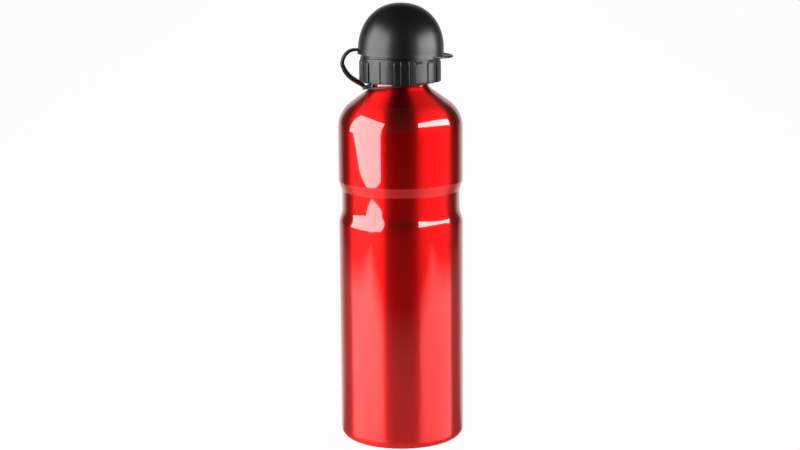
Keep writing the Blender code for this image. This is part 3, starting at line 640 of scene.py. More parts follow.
def shell_outline(sizes):
    """The bottle's outside and inside, how many points of it are outside, and the thread's rows."""
    body = sizes.body_radius
    waist = body - sizes.grip_depth
    neck = sizes.neck_radius
    recess = body - HEEL_WIDTH - STAND_WIDTH - RECESS_LIP
    curve = (recess ** 2 + RECESS_DEPTH ** 2) / (2 * RECESS_DEPTH)
    recess_turn = math.asin(recess / curve)
    points = arc((0.0, RECESS_DEPTH - curve), (curve, curve), math.pi / 2, math.pi / 2 - recess_turn,
                 steps=18)
    points[0] = (0.0, RECESS_DEPTH)
    points[-1:] = arc((recess + RECESS_LIP, RECESS_LIP), (RECESS_LIP, RECESS_LIP),
                      RECESS_LIP_START, -math.pi / 2, steps=5)
    points += arc((body - HEEL_WIDTH, HEEL_HEIGHT), (HEEL_WIDTH, HEEL_HEIGHT), -math.pi / 2, 0.0, steps=18)
    points += even_rows(body, HEEL_HEIGHT, LOWER_BODY_TOP, count=12)[1:-1]
    for step in range(GRIP_LOW_ROWS + 1):
        share = step / GRIP_LOW_ROWS
        z = LOWER_BODY_TOP + (GRIP_LOW - LOWER_BODY_TOP) * share
        tail = GRIP_LOW_TAIL_DEPTH * swell(share)
        points.append((body + (waist + tail - body) * swell(share), z))
    points.append((waist, GRIP_LOW + GRIP_LOW_TAIL))
    points += rounded([(waist, GRIP_LOW + GRIP_LOW_TAIL, 0.0), (waist, GRIP_HIGH, GRIP_HIGH_ROUND),
                       (body, UPPER_BODY_LOW, GRIP_HIGH_ROUND), (body, SHOULDER_LOW, 0.0)], steps=6)[1:-1]
    points += even_rows(body, UPPER_BODY_LOW + GRIP_HIGH_ROUND, SHOULDER_LOW, count=4)[1:-1]
    points += arc((body - SHOULDER_RADIUS, SHOULDER_LOW), (SHOULDER_RADIUS, SHOULDER_RADIUS),
                  0.0, SHOULDER_TURN, steps=30)
    slope_top = neck + NECK_BLEND_RADIUS * (1 - math.cos(SHOULDER_TURN))
    rise = (points[-1][0] - slope_top) / math.tan(SHOULDER_TURN)
    neck_low = points[-1][1] + rise + NECK_BLEND_RADIUS * math.sin(SHOULDER_TURN)
    points += arc((neck + NECK_BLEND_RADIUS, neck_low), (NECK_BLEND_RADIUS, NECK_BLEND_RADIUS),
                  math.pi + SHOULDER_TURN, math.pi, steps=12)
    wall_side = list(points)
    root = neck + NECK_STEP
    points += rounded([(neck, neck_low, 0.0), (neck, THREAD_LOW - NECK_STEP, SMALL_ROUND),
                       (root, THREAD_LOW, SMALL_ROUND), (root, THREAD_HIGH, 0.0)], steps=3)[1:-1]
    thread_first = len(points)
    rows = round((THREAD_HIGH - THREAD_LOW) / NECK_THREAD_ROW_HEIGHT)
    points += even_rows(root, THREAD_LOW + SMALL_ROUND, THREAD_HIGH, rows)
    thread_last = len(points)
    points += arc((root - LIP_ROLL, sizes.lip_top - LIP_ROLL), (LIP_ROLL, LIP_ROLL),
                  0.0, math.pi / 2, steps=5)
    outside_count = len(points)
    bore = neck - WALL
    points += arc((bore + LIP_ROLL, sizes.lip_top - LIP_ROLL), (LIP_ROLL, LIP_ROLL),
                  math.pi / 2, math.pi, steps=5)
    # The inside follows every second point of the outside
    inside = []
    for place in range(0, len(wall_side), 2):
        before = Vector(wall_side[max(place - 1, 0)])
        after = Vector(wall_side[min(place + 1, len(wall_side) - 1)])
        along = (after - before).normalized()
        r, z = wall_side[place]
        inside.append((r - along.y * WALL if r > 0.0 else 0.0, z + along.x * WALL))
    points += [(bore, neck_low)] + [point for point in inside[::-1] if point[1] < neck_low]
    return points, outside_count, range(thread_first, thread_last)


class BOTTLE_OT_shell(bpy.types.Operator):
    """Make the lacquered aluminium bottle with its lining"""
    bl_idname = "bottle.shell"
    bl_label = "Bottle shell"

    def execute(self, context):
        outline, outside_count, thread = shell_outline(context.scene.bottle_shell_sizes)
        start = THREAD_LOW + THREAD_BASE_WIDTH

        def mould(angle, place, r, z):
            if place in thread:
                r += THREAD_DEPTH * ridge_height(angle, z, start, NECK_THREAD_TURNS)
            return r, z

        work = bmesh.new()
        faces = turned(work, outline, even_angles(SHELL_TURN_STEPS), mould)
        for face in faces[outside_count * SHELL_TURN_STEPS:]:
            face.material_index = 1
        shell = make_piece("lacquered_shell", work,
                           [finish_named("lacquered_brushed_aluminium"), finish_named("lined_aluminium")])
        place_piece(shell, "bottle", "bottle_shell")
        return {'FINISHED'}


def rib_angles(sizes):
    """Angles round the collar, close together where the ribs' walls stand."""
    period = math.tau / sizes.rib_count
    half = sizes.rib_turn / 2
    both = {0.0, period / 2}
    for side, run in ((-1, RIB_LEFT_RUN), (1, RIB_RIGHT_RUN)):
        wall = run / sizes.collar_radius
        room = period / 2 - half - wall
        offsets = [half * share for share in RIB_TOP_SHARES]
        offsets += [half + wall * share for share in RIB_WALL_SHARES]
        offsets += [half + wall + room * share for share in RIB_GAP_SHARES]
        both.update(side * offset for offset in offsets)
    return [RIB_START_TURN + period * count + offset
            for count in range(sizes.rib_count) for offset in sorted(both)]


def rib_stand(sizes, angle, z):
    """How much of a rib's height stands at one place on the collar, from 0 to 1."""
    period = math.tau / sizes.rib_count
    off = (angle - RIB_START_TURN + period / 2) % period - period / 2
    run = RIB_LEFT_RUN if off < 0.0 else RIB_RIGHT_RUN
    across = (abs(off) - sizes.rib_turn / 2) * sizes.collar_radius + RIB_CORNER_ROUND
    along = (z - STEP_LOW + RIB_TOP_GAP) * run / RIB_TOP_RUN + RIB_CORNER_ROUND
    outside = math.hypot(max(across, 0.0), max(along, 0.0)) + min(max(across, along), 0.0)
    return 1.0 - straight_ramp((outside - RIB_CORNER_ROUND) / run + 0.5)


class BOTTLE_OT_cap(bpy.types.Operator):
    """Make the screw cap with its ribbed collar, tower and thread"""
    bl_idname = "bottle.cap"
    bl_label = "Screw cap"

    def execute(self, context):
        sizes = context.scene.bottle_cap_sizes
        collar = sizes.collar_radius
        edge_steps = 5
        outline = rounded([(SLOT_RADIUS, (COLLAR_LOW + DECK_LOW) / 2, 0.0),
                           (SLOT_RADIUS, COLLAR_LOW, SMALL_ROUND), (collar, COLLAR_LOW, COLLAR_EDGE_ROUND),
                           (collar, STEP_LOW, 0.0)], edge_steps)[:-1]
        rib_first = len(outline) - edge_steps - 1
        high = STEP_LOW - RIB_TOP_GAP + RIB_TOP_RUN / 2
        fine_low = high - RIB_TOP_FINE_SHARE * RIB_TOP_RUN
        outline += even_rows(collar, outline[-1][1], fine_low, count=5)[1:]
        outline += even_rows(collar, fine_low, high, count=18)[1:]
        rib_last = len(outline)
        step = collar - STEP_WIDTH
        seat = TOWER_BORE - STEM_SEAT_WIDTH
        groove = TOWER_FLANGE_RADIUS - SEAL_GROOVE_DEPTH
        groove_high = SEAL_GROOVE_LOW + SEAL_GROOVE_WIDTH
        tower = [(collar, high, 0.0), (collar, STEP_LOW, SMALL_ROUND), (step, STEP_LOW, SMALL_ROUND),
                 (step, DECK_TOP, DECK_ROUND), (TOWER_RADIUS, DECK_TOP, 2 * SMALL_ROUND),
                 (TOWER_RADIUS, TOWER_FLANGE_LOW, SMALL_ROUND),
                 (TOWER_FLANGE_RADIUS, TOWER_FLANGE_LOW, SMALL_ROUND),
                 (TOWER_FLANGE_RADIUS, SEAL_GROOVE_LOW, 0.0), (groove, SEAL_GROOVE_LOW, 0.0),
                 (groove, groove_high, 0.0), (TOWER_FLANGE_RADIUS, groove_high, 0.0),
                 (TOWER_FLANGE_RADIUS, TOWER_TOP, SMALL_ROUND), (TOWER_BORE, TOWER_TOP, SMALL_ROUND),
                 (TOWER_BORE, STEM_SEAT, 0.0), (seat, STEM_SEAT, 0.0), (seat, DECK_LOW, SMALL_ROUND),
                 (SLEEVE_BORE, DECK_LOW, 0.0), (SLEEVE_BORE, THREAD_HIGH, 0.0)]
        outline += rounded(tower, steps=4)[1:-1]
        thread_first = len(outline)
        rows = round((THREAD_HIGH - SLEEVE_LOW) / CAP_THREAD_ROW_HEIGHT)
        outline += even_rows(SLEEVE_BORE, SLEEVE_LOW + SMALL_ROUND, THREAD_HIGH, rows)[::-1]
        thread_last = len(outline)
        outline += [(SLEEVE_BORE, SLEEVE_LOW), (SLEEVE_RADIUS, SLEEVE_LOW), (SLEEVE_RADIUS, DECK_LOW),
                    (SLOT_RADIUS, DECK_LOW)]
        start = THREAD_LOW + THREAD_BASE_WIDTH + THREAD_PITCH / 2

        def mould(angle, place, r, z):
            if rib_first <= place < rib_last:
                r += sizes.rib_height * rib_stand(sizes, angle, z)
            elif thread_first <= place < thread_last:
                r -= THREAD_DEPTH * ridge_height(angle, z, start, CAP_THREAD_TURNS)
            return r, z

        work = bmesh.new()
        turned(work, outline, rib_angles(sizes), mould)
        cap = make_piece("ribbed_screw_cap", work, [finish_named("moulded_polypropylene")], CAP_CREASE)
        over = DECK_TOP - DECK_LOW
        drill = [(0.0, DECK_TOP + over), (VENT_HOLE_RADIUS, DECK_TOP + over),
                 (VENT_HOLE_RADIUS, DECK_LOW - over), (0.0, DECK_LOW - over)]
        cutter = turned_piece("vent_drill", drill, None, steps=32, place=(0.0, VENT_PLACE_RADIUS, 0.0))
        carve(cap, cutter, 'DIFFERENCE')
        place_piece(cap, "cap", "screw_cap")
        return {'FINISHED'}


class BOTTLE_OT_seals(bpy.types.Operator):
    """Make the lip gasket, the spout seal and the vent valve"""
    bl_idname = "bottle.seals"
    bl_label = "Seals and vent"

    def execute(self, context):
        sizes = context.scene.bottle_shell_sizes
        silicone = finish_named("silicone_rubber")
        low = sizes.lip_top + SEAT_GAP
        outline = rounded_box(sizes.neck_radius - WALL, sizes.neck_radius + NECK_STEP + THREAD_DEPTH,
                              low, low + GASKET_THICKNESS, SMALL_ROUND, steps=4)
        gasket = turned_piece("lip_seal", outline, silicone, steps=128)
        place_piece(gasket, "seal", "lip_gasket")
        outline = rounded_box(TOWER_FLANGE_RADIUS - SEAL_GROOVE_DEPTH + SEAT_GAP, SPOUT_BORE - SEAT_GAP,
                              SEAL_GROOVE_LOW + SEAT_GAP, SEAL_GROOVE_LOW + SEAL_GROOVE_WIDTH - SEAT_GAP,
                              SMALL_ROUND, steps=4)
        place_piece(turned_piece("tower_seal", outline, silicone), "cap", "spout_seal")
        disc_top = DECK_LOW - SEAT_GAP
        disc_low = disc_top - VENT_DISC_THICKNESS
        bulb_low = DECK_TOP + SEAT_GAP
        bulb_high = bulb_low + VENT_BULB_HEIGHT
        edge = SMALL_ROUND / 2
        outline = rounded([
            (0.0, disc_low, 0.0), (VENT_DISC_RADIUS, disc_low, edge), (VENT_DISC_RADIUS, disc_top, edge),
            (VENT_STEM_RADIUS, disc_top, edge), (VENT_STEM_RADIUS, bulb_low, edge),
            (VENT_BULB_RADIUS, bulb_low, edge), (VENT_STEM_RADIUS, bulb_high, edge),
            (0.0, bulb_high, 0.0)], steps=3)
        vent = turned_piece("vent_seal", outline, silicone, steps=40, place=(0.0, VENT_PLACE_RADIUS, 0.0))
        place_piece(vent, "cap", "vent_valve")
        return {'FINISHED'}


class BOTTLE_OT_stem(bpy.types.Operator):
    """Make the fixed pin that closes the spout"""
    bl_idname = "bottle.stem"
    bl_label = "Closing stem"

    def execute(self, context):
        white = finish_named("white_acetal")
        low = STEM_SEAT + SEAT_GAP
        high = low + STEM_RING_HEIGHT
        radius = TOWER_BORE - SEAT_GAP
        top = SPOUT_TOP - SEAT_GAP
        pin = rounded([(0.0, low - STEM_TAIL, 0.0), (STEM_PIN_RADIUS, low - STEM_TAIL, SMALL_ROUND),
                       (STEM_PIN_RADIUS, top, 2 * SMALL_ROUND), (0.0, top, 0.0)], steps=6)
        stem = turned_piece("closing_stem", pin, white, steps=48)
        outline = rounded_box(radius - STEM_RING_WALL, radius, low, high, SMALL_ROUND / 2, steps=3)
        carve(stem, turned_piece("stem_ring", outline, white, steps=64), 'UNION')
        # A spoke runs from inside the pin to inside the ring's wall
        inner = STEM_PIN_RADIUS / 2
        outer = radius - STEM_RING_WALL / 2
        middle = Matrix.Translation(((inner + outer) / 2, 0.0, (low + high) / 2))
        size = Matrix.Diagonal((outer - inner, STEM_SPOKE_WIDTH, STEM_RING_HEIGHT - 2 * SMALL_ROUND, 1.0))
        for count in range(STEM_SPOKE_COUNT):
            work = bmesh.new()
            bmesh.ops.create_cube(work, size=1.0)
            spin = Matrix.Rotation(math.tau * count / STEM_SPOKE_COUNT, 4, 'Z')
            bmesh.ops.transform(work, matrix=spin @ middle @ size, verts=work.verts)
            carve(stem, make_piece("stem_spoke", work, [white]), 'UNION')
        stem.data.shade_smooth()
        stem.data.set_sharp_from_angle(angle=CREASE)
        place_piece(stem, "cap", "valve_stem")
        return {'FINISHED'}


class BOTTLE_OT_spout(bpy.types.Operator):
    """Make the pull spout"""
    bl_idname = "bottle.spout"
    bl_label = "Pull spout"

    def execute(self, context):
        wall = SPOUT_RADIUS - SPOUT_BORE
        bore = TOWER_RADIUS + SEAT_GAP
        hole = STEM_PIN_RADIUS + SEAT_GAP
        flange_high = SPOUT_LOW + SPOUT_FLANGE_HEIGHT
        inner_lip_high = SPOUT_LOW + SPOUT_LIP_HEIGHT
        lip_low = SPOUT_TOP - NOZZLE_LIP_HEIGHT
        ceiling = SPOUT_TOP - NOZZLE_TOP_WALL
        outline = rounded([
            (bore, SPOUT_LOW, SMALL_ROUND), (SPOUT_FLANGE_RADIUS, SPOUT_LOW, SMALL_ROUND),
            (SPOUT_FLANGE_RADIUS, flange_high, SMALL_ROUND),
            (SPOUT_RADIUS, flange_high + wall / 2, SMALL_ROUND), (SPOUT_RADIUS, SPOUT_CEILING, NOZZLE_ROUND),
            (NOZZLE_WAIST_RADIUS, SPOUT_CEILING + wall, NOZZLE_ROUND),
            (NOZZLE_WAIST_RADIUS, lip_low, NOZZLE_ROUND),
            (NOZZLE_RADIUS, lip_low + NOZZLE_ROUND, NOZZLE_ROUND / 2),
            (NOZZLE_RADIUS, SPOUT_TOP, NOZZLE_ROUND), (hole, SPOUT_TOP, SMALL_ROUND),
            (hole, ceiling, 0.0), (NOZZLE_BORE_RADIUS, ceiling, 0.0),
            (NOZZLE_BORE_RADIUS, SPOUT_CEILING, 0.0), (SPOUT_BORE, SPOUT_CEILING, SMALL_ROUND),
            (SPOUT_BORE, inner_lip_high, 0.0), (bore, inner_lip_high, 0.0)], steps=5, closed=True)
        spout = turned_piece("pull_spout", outline, finish_named("milky_polyethylene"), steps=128)
        place_piece(spout, "spout", "spout")
        return {'FINISHED'}


def dome_arc(radius, height, low, steps):
    """The dome's outline from a height over its middle up to its top. With a fullness of 2 it is an oval."""
    power = 2 / COVER_FULLNESS
    start = math.asin((low / height) ** (1 / power))
    points = []
    for step in range(steps):
        angle = start + (math.pi / 2 - start) * step / steps
        points.append((radius * math.cos(angle) ** power, COVER_MIDDLE + height * math.sin(angle) ** power))
    return points + [(0.0, COVER_MIDDLE + height)]


def tab_rows(sizes):
    """The thumb tab's rows as (share of the way out, height over the cover's lower edge)."""
    top = TAB_LOW + sizes.tab_thickness
    rows = [(share, top + height * MM) for share, height in TAB_TOP_ROWS]
    rows.append((1.0, (top + TAB_LOW) / 2))
    return rows + [(share, TAB_LOW + height * MM) for share, height in TAB_UNDER_ROWS]


class BOTTLE_OT_cover(bpy.types.Operator):
    """Make the domed dust cover with its thumb tab"""
    bl_idname = "bottle.cover"
    bl_label = "Dust cover"

    def execute(self, context):
        sizes = context.scene.bottle_cover_sizes
        rows = tab_rows(sizes)
        root_high, root_low = rows[0][1], rows[-1][1]
        flare = (COVER_RIM_RADIUS - COVER_RADIUS) / (COVER_MIDDLE - COVER_LOW)
        above = COVER_MIDDLE - COVER_LOW - root_high
        outline = dome_arc(COVER_RADIUS, COVER_HEIGHT, 0.0, steps=48)[::-1]
        outline += [(COVER_RADIUS + above * share * flare, COVER_MIDDLE - above * share)
                    for share in COVER_SKIRT_ROW_SHARES]
        # Round the skirt, the tab's rows are evenly spaced from its root's top to its root's underside
        last = len(rows) - 1
        heights = [root_high + (root_low - root_high) * place / last for place in range(last + 1)]
        tab_first = len(outline)
        outline += [(COVER_RIM_RADIUS - height * flare, COVER_LOW + height) for height in heights]
        tab_last = len(outline)
        ledge_high = COVER_LEDGE_LOW + COVER_LEDGE_HEIGHT
        ledge_reach = COVER_SKIRT_BORE - COVER_LEDGE_WIDTH
        inside = dome_arc(COVER_RADIUS - sizes.wall, COVER_HEIGHT - sizes.wall, ledge_high - COVER_MIDDLE,
                          steps=30)
        outline += rounded([(COVER_RIM_RADIUS, COVER_LOW + root_low, 0.0),
                            (COVER_RIM_RADIUS, COVER_LOW, COVER_RIM_ROUND),
                            (COVER_SKIRT_BORE, COVER_LOW, SMALL_ROUND),
                            (COVER_SKIRT_BORE, COVER_LEDGE_LOW, 0.0),
                            (ledge_reach, COVER_LEDGE_LOW, SMALL_ROUND),
                            (ledge_reach, ledge_high - SMALL_ROUND, SMALL_ROUND),
                            (inside[0][0], ledge_high, 0.0)], steps=5)[1:]
        outline += inside[1:]
        middle_x = COVER_RIM_RADIUS + sizes.tab_length - TAB_RADIUS

        def mould(angle, place, r, z):
            if not tab_first <= place < tab_last or math.cos(angle) <= 0.0:
                return r, z
            off = middle_x * math.sin(angle)
            out = middle_x * math.cos(angle) + math.sqrt(TAB_RADIUS ** 2 - off ** 2) - r
            if out <= 0.0:
                return r, z
            share, height = rows[place - tab_first]
            return r + out * share, z + (COVER_LOW + height - z) * swell(out / TAB_BLEND)

        work = bmesh.new()
        turned(work, outline, even_angles(288), mould)
        tilt_about_y(work, sizes.tilt, COVER_LOW)
        bmesh.ops.translate(work, verts=work.verts, vec=(COVER_SHIFT, 0.0, 0.0))
        cover = make_piece("domed_cover", work, [finish_named("moulded_polypropylene")])
        place_piece(cover, "cover", "dust_cover")
        return {'FINISHED'}


def smooth_route(points, steps):
    """A smooth line (x, z) through given points."""
    ends = [points[0], *points, points[-1]]
    line = []
    for place in range(1, len(ends) - 2):
        a, b, c, d = (Vector(ends[place + shift]) for shift in (-1, 0, 1, 2))
        for step in range(steps):
            t = step / steps
            line.append(0.5 * (2 * b + (c - a) * t + (2 * a - 5 * b + 4 * c - d) * t * t
                               + (3 * b - a - 3 * c + d) * t ** 3))
    return line + [Vector(points[-1])]


def swept_strap(name, points, shape_at):
    """A flat strap along a route; shape_at(share) gives its width and thickness there."""
    line = smooth_route(points, steps=4)
    work = bmesh.new()
    rings = []
    for place, spot in enumerate(line):
        along = (line[min(place + 1, len(line) - 1)] - line[max(place - 1, 0)]).normalized()
        width, thickness = shape_at(place / (len(line) - 1))
        outline = rounded_box(-width / 2, width / 2, -thickness / 2, thickness / 2,
                              STRAP_EDGE_ROUND, steps=4)
        rings.append([work.verts.new((spot.x - along.y * through, across, spot.y + along.x * through))
                      for across, through in outline])
    for one, other in zip(rings, rings[1:]):
        for place in range(len(one)):
            after = (place + 1) % len(one)
            work.faces.new((one[place], one[after], other[after], other[place]))
    work.faces.new(rings[0])
    work.faces.new(rings[-1])
    return make_piece(name, work, [finish_named("moulded_polyethylene")])


class BOTTLE_OT_strap(bpy.types.Operator):
    """Make both halves of the loop strap"""
    bl_idname = "bottle.strap"
    bl_label = "Strap"

    def execute(self, context):
        sizes = context.scene.bottle_tether_sizes
        width, thickness = sizes.strap_width, sizes.strap_thickness

        def top_shape(share):
            root = 1.0 - swell(share / STRAP_ROOT_LENGTH_SHARE)
            return (width * (1.0 - STRAP_ROOT_NARROWING_SHARE * root),
                    thickness * (1.0 - STRAP_ROOT_THINNING_SHARE * root))

        def foot_shape(share):
            swelling = swell(share / STRAP_FOOT_CHANGE_LENGTH_SHARE)
            thinning = swell((share - 1.0) / STRAP_FOOT_CHANGE_LENGTH_SHARE + 1.0)
            return width, thickness * (1.0 + STRAP_FOOT_SWELLING_SHARE * swelling
                                       - STRAP_FOOT_THINNING_SHARE * thinning)

        top = swept_strap("strap_top_half", STRAP_TOP_ROUTE, top_shape)
        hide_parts("strap_upper")
        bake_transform(top)
        foot = swept_strap("strap_foot_half", STRAP_FOOT_ROUTE, foot_shape)
        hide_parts("strap_lower")
        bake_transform(foot)
        return {'FINISHED'}


class BOTTLE_OT_ring(bpy.types.Operator):
    """Make the ring that holds the strap on the neck"""
    bl_idname = "bottle.ring"
    bl_label = "Neck ring"

    def execute(self, context):
        sizes = context.scene.bottle_tether_sizes
        half = sizes.ring_thickness / 2
        outline = rounded_box(RING_BORE_RADIUS, RING_RADIUS, RING_MIDDLE - half, RING_MIDDLE + half,
                              RING_ROUND, steps=5)
        knuckle_turn = math.asin(KNUCKLE_WIDTH / 2 / RING_RADIUS)

        def mould(angle, place, r, z):
            off = abs((angle % math.tau) - math.pi)
            stand = 1.0 - swell((off / knuckle_turn - KNUCKLE_FLAT_SHARE) / KNUCKLE_FADE_SHARE)
            if stand <= 0.0:
                return r, z
            share = (r - RING_BORE_RADIUS) / (RING_RADIUS - RING_BORE_RADIUS)
            reach = KNUCKLE_REACH / math.cos(min(off, knuckle_turn)) - RING_RADIUS
            thicker = (KNUCKLE_THICKNESS / sizes.ring_thickness - 1.0) * swell(share / KNUCKLE_SLOPE_SHARE)
            return r + reach * stand * share, z + (z - RING_MIDDLE) * thicker * stand

        work = bmesh.new()
        turned(work, outline, even_angles(360), mould)
        tilt_about_y(work, -sizes.ring_tilt, RING_MIDDLE)
        ring = make_piece("neck_ring", work, [finish_named("moulded_polyethylene")])
        place_piece(ring, "ring", "tether_ring")
        return {'FINISHED'}


def painted_light_pool(tree, shader, where):
    """The table's pale tone as a painted pool of light, fading to painted shade, a dark floor, at its sides
    and front; the lamps light both alike. Also how far aside and back it is.
    """
    shader.inputs["Roughness"].default_value = TABLE_ROUGHNESS
    fibre = add_node(tree, "TexNoise", {"Scale": per_metre(4), "Detail": 3.0}, {"Vector": where})
    low, high = TABLE_TONE_SHARES
    tone = add_node(tree, "MapRange", {"To Min": low, "To Max": high}, {"Value": fibre})
    tinted = add_node(tree, "VectorMath", {0: linear(TABLE_TONE_WITH_RED_BOUNCE)}, {"Scale": tone}, operation='SCALE')
    link_sockets(tree, shader, {"Base Color": tinted})
    # Painted shade where the painted pool of light ends, though the lamps light this floor as they light the
    # table
    dark = add_node(tree, "BsdfDiffuse", {"Color": PAINTED_FLOOR_SHADE})
    axes = add_node(tree, "SeparateXYZ", None, {"Vector": where})
    side = add_node(tree, "Math", None, {0: axes.outputs["X"]}, operation='ABSOLUTE')
    beside = add_node(tree, "MapRange", {"From Min": TABLE_REACH, "From Max": TABLE_REACH + TABLE_FADE},
                      {"Value": side})
    before = add_node(tree, "MapRange", {"From Min": -TABLE_FRONT, "From Max": -TABLE_FRONT - TABLE_FADE},
                      {"Value": axes.outputs["Y"]})
    off = add_node(tree, "Math", None, {0: beside, 1: before}, operation='MAXIMUM')
    table = add_node(tree, "MixShader", None, {0: off, 1: shader, 2: dark})
    return table, side, axes.outputs["Y"]


def pale_table():
    """Softly shining table, tinted pink with painted red bounce light from the bottle. The eye sees it near
    white, also through clear pieces, and the bottle mirrors it near white where it lies behind the bottle.
    """
    material, tree, shader, where = new_material("pale_table", {})
    table, side, forward = painted_light_pool(tree, shader, where)
    beyond = add_node(tree, "Math", {1: SHELL_HIGH.x}, {0: side}, operation='SUBTRACT')
    from_wall = add_node(tree, "CombineXYZ", None, {"X": beyond, "Y": forward})
    outward = add_node(tree, "VectorMath", None, {"Vector": from_wall}, operation='NORMALIZE')
    way = add_node(tree, "SeparateXYZ", None, {"Vector": outward})
    low, high = TABLE_BACK_SHARES
    back = add_node(tree, "MapRange", {"From Min": low, "From Max": high, "To Max": MIRRORED_TABLE},
                    {"Value": way.outputs["Y"]}, interpolation_type='SMOOTHSTEP')
    path = add_node(tree, "LightPath").outputs
    mirrored = add_node(tree, "Math", None, {0: path["Is Glossy Ray"], 1: back}, operation='MULTIPLY')
    clear = add_node(tree, "Math", None, {0: mirrored, 1: path["Is Transmission Ray"]}, operation='MAXIMUM')
    seen = add_node(tree, "Math", None, {0: path["Is Camera Ray"], 1: clear}, operation='MAXIMUM')
    share = add_node(tree, "Math", {1: SEEN_WHITE_SHARE}, {0: seen}, operation='MULTIPLY')
    white = add_node(tree, "Emission", {"Color": WHITE, "Strength": 1.0})
    mix = add_node(tree, "MixShader", None, {0: share, 1: table, 2: white})
    link_sockets(tree, tree.nodes["Material Output"], {"Surface": mix})
    return material


def surroundings(scene):
    """A dim room with a white backdrop behind the object, and plain white where the eye looks."""
    world = bpy.data.worlds.new("studio_room")
    scene.world = world
    world.use_nodes = True
    tree = world.node_tree
    where = add_node(tree, "TexCoord").outputs["Generated"]
    axes = add_node(tree, "SeparateXYZ", None, {"Vector": where}).outputs
    low, high = ROOM_BACK_SHARES
    back = add_node(tree, "MapRange", {"From Min": low, "From Max": high, "To Max": MIRRORED_BACKDROP},
                    {"Value": axes["Y"]}, interpolation_type='SMOOTHSTEP')
    low, high = ROOM_HIGH_SHARES
    height = add_node(tree, "MapRange",
                      {"From Min": low, "From Max": high, "To Min": 1.0, "To Max": BACKDROP_TOP_SHARE},
                      {"Value": axes["Z"]}, interpolation_type='SMOOTHSTEP')
    backdrop = add_node(tree, "Math", None, {0: back, 1: height}, operation='MULTIPLY')
    path = add_node(tree, "LightPath").outputs
    seen = add_node(tree, "Math", None, {0: path["Is Camera Ray"], 1: path["Is Transmission Ray"]},
                    operation='MAXIMUM')
    white = add_node(tree, "Math", None, {0: seen, 1: backdrop}, operation='MAXIMUM')
    level = add_node(tree, "MapRange", {"To Min": ROOM_DARK, "To Max": 1.0}, {"Value": white})
    link_sockets(tree, tree.nodes["Background"], {"Color": level})


def soft_lamp(name, degrees, reach, height, face, roll, brightness):
    """A lamp with a face of this width and height, unseen by the eye, that faces the axis level."""
    width, tall = face
    data = bpy.data.lights.new(name, 'AREA')
    data.shape = 'RECTANGLE'
    data.size = width
    data.size_y = tall
    data.energy = brightness * width * tall * LAMP_WATTS_PER_SQUARE_METRE
    lamp = bpy.data.objects.new(name, data)
    angle = math.radians(degrees)
    place = Vector((reach * math.sin(angle), -reach * math.cos(angle), height))
    facing = (Vector((0.0, 0.0, height)) - place).to_track_quat('-Z', 'Y').to_matrix().to_4x4()
    lamp.matrix_world = Matrix.Translation(place) @ facing @ Matrix.Rotation(math.radians(roll), 4, 'Z')
    lamp.visible_camera = False
    return lamp


def part_light(scene):
    """Of the lamps at the right, one lights only the cap pieces, one only the floor and one all the rest."""
    cap = bpy.data.collections.new("cap_light_group")
    rest = bpy.data.collections.new("rest_light_group")
    table = bpy.data.collections.new("table_light_group")
    for thing in scene.objects:
        if thing.type == 'MESH':
            (cap if thing.name in CAP_PIECES else rest).objects.link(thing)
    table.objects.link(scene.objects["studio_floor"])
    for lamp, group in ((CAP_LAMP, cap), (SHELL_LAMP, rest), (TABLE_LAMP, table)):
        scene.objects[lamp].light_linking.receiver_collection = group


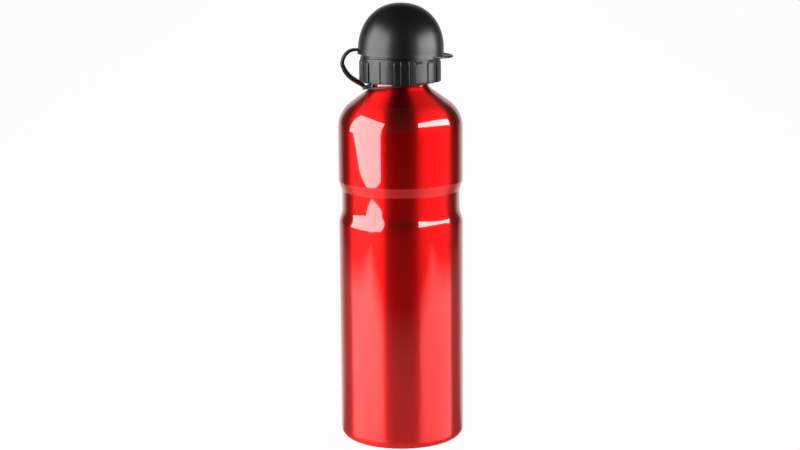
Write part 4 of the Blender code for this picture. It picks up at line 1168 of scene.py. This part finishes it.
class BOTTLE_OT_stage(bpy.types.Operator):
    """Make the floor, the soft lamps, the surroundings and the camera"""
    bl_idname = "bottle.stage"
    bl_label = "Studio"

    def execute(self, context):
        scene = context.scene
        work = bmesh.new()
        bmesh.ops.create_grid(work, x_segments=FLOOR_STEPS, y_segments=FLOOR_STEPS, size=FLOOR_REACH)
        floor = make_piece("studio_floor", work, [pale_table()])
        for row in LAMPS:
            scene.collection.objects.link(soft_lamp(*row))
        part_light(scene)
        surroundings(scene)
        lens = bpy.data.cameras.new("photo_camera")
        lens.lens = CAMERA_LENS
        lens.clip_end = 2 * FLOOR_REACH
        camera = bpy.data.objects.new("photo_camera", lens)
        pan = Matrix.Rotation(CAMERA_PAN, 4, 'Z')
        pitch = Matrix.Rotation(CAMERA_PITCH, 4, 'X')
        roll = Matrix.Rotation(CAMERA_ROLL, 4, 'Z')
        camera.matrix_world = Matrix.Translation(CAMERA_PLACE) @ pan @ pitch @ roll
        scene.collection.objects.link(camera)
        scene.camera = camera
        scene.view_settings.view_transform = 'Standard'
        return {'FINISHED'}


class BOTTLE_PT_panel(bpy.types.Panel):
    """Sizes, colours and makers of the drinking bottle"""
    bl_idname = "BOTTLE_PT_panel"
    bl_label = "Drinking bottle"
    bl_space_type = 'VIEW_3D'
    bl_region_type = 'UI'
    bl_category = "Bottle"

    def draw(self, context):
        for group in GROUPS:
            box = self.layout.box()
            settings = getattr(context.scene, group)
            for name in settings.__annotations__:
                box.prop(settings, name)
        for maker in MAKERS:
            self.layout.operator(maker.bl_idname)


GROUPS = {
    "bottle_shell_sizes": ShellSizes,
    "bottle_cap_sizes": CapSizes,
    "bottle_cover_sizes": CoverSizes,
    "bottle_tether_sizes": TetherSizes,
    "bottle_colours": FinishColours,
}
MAKERS = (BOTTLE_OT_shell, BOTTLE_OT_cap, BOTTLE_OT_seals, BOTTLE_OT_stem, BOTTLE_OT_spout,
          BOTTLE_OT_cover, BOTTLE_OT_strap, BOTTLE_OT_ring, BOTTLE_OT_stage)


def register():
    for thing in (*GROUPS.values(), *MAKERS, BOTTLE_PT_panel):
        bpy.utils.register_class(thing)
    for name, group in GROUPS.items():
        setattr(bpy.types.Scene, name, bpy.props.PointerProperty(type=group))


def unregister():
    for name in GROUPS:
        delattr(bpy.types.Scene, name)
    for thing in reversed((*GROUPS.values(), *MAKERS, BOTTLE_PT_panel)):
        bpy.utils.unregister_class(thing)


def main():
    register()
    bpy.ops.bottle.shell()
    bpy.ops.bottle.cap()
    bpy.ops.bottle.seals()
    bpy.ops.bottle.stem()
    bpy.ops.bottle.spout()
    bpy.ops.bottle.cover()
    bpy.ops.bottle.strap()
    bpy.ops.bottle.ring()
    bpy.ops.bottle.stage()


if __name__ == "__main__":
    main()
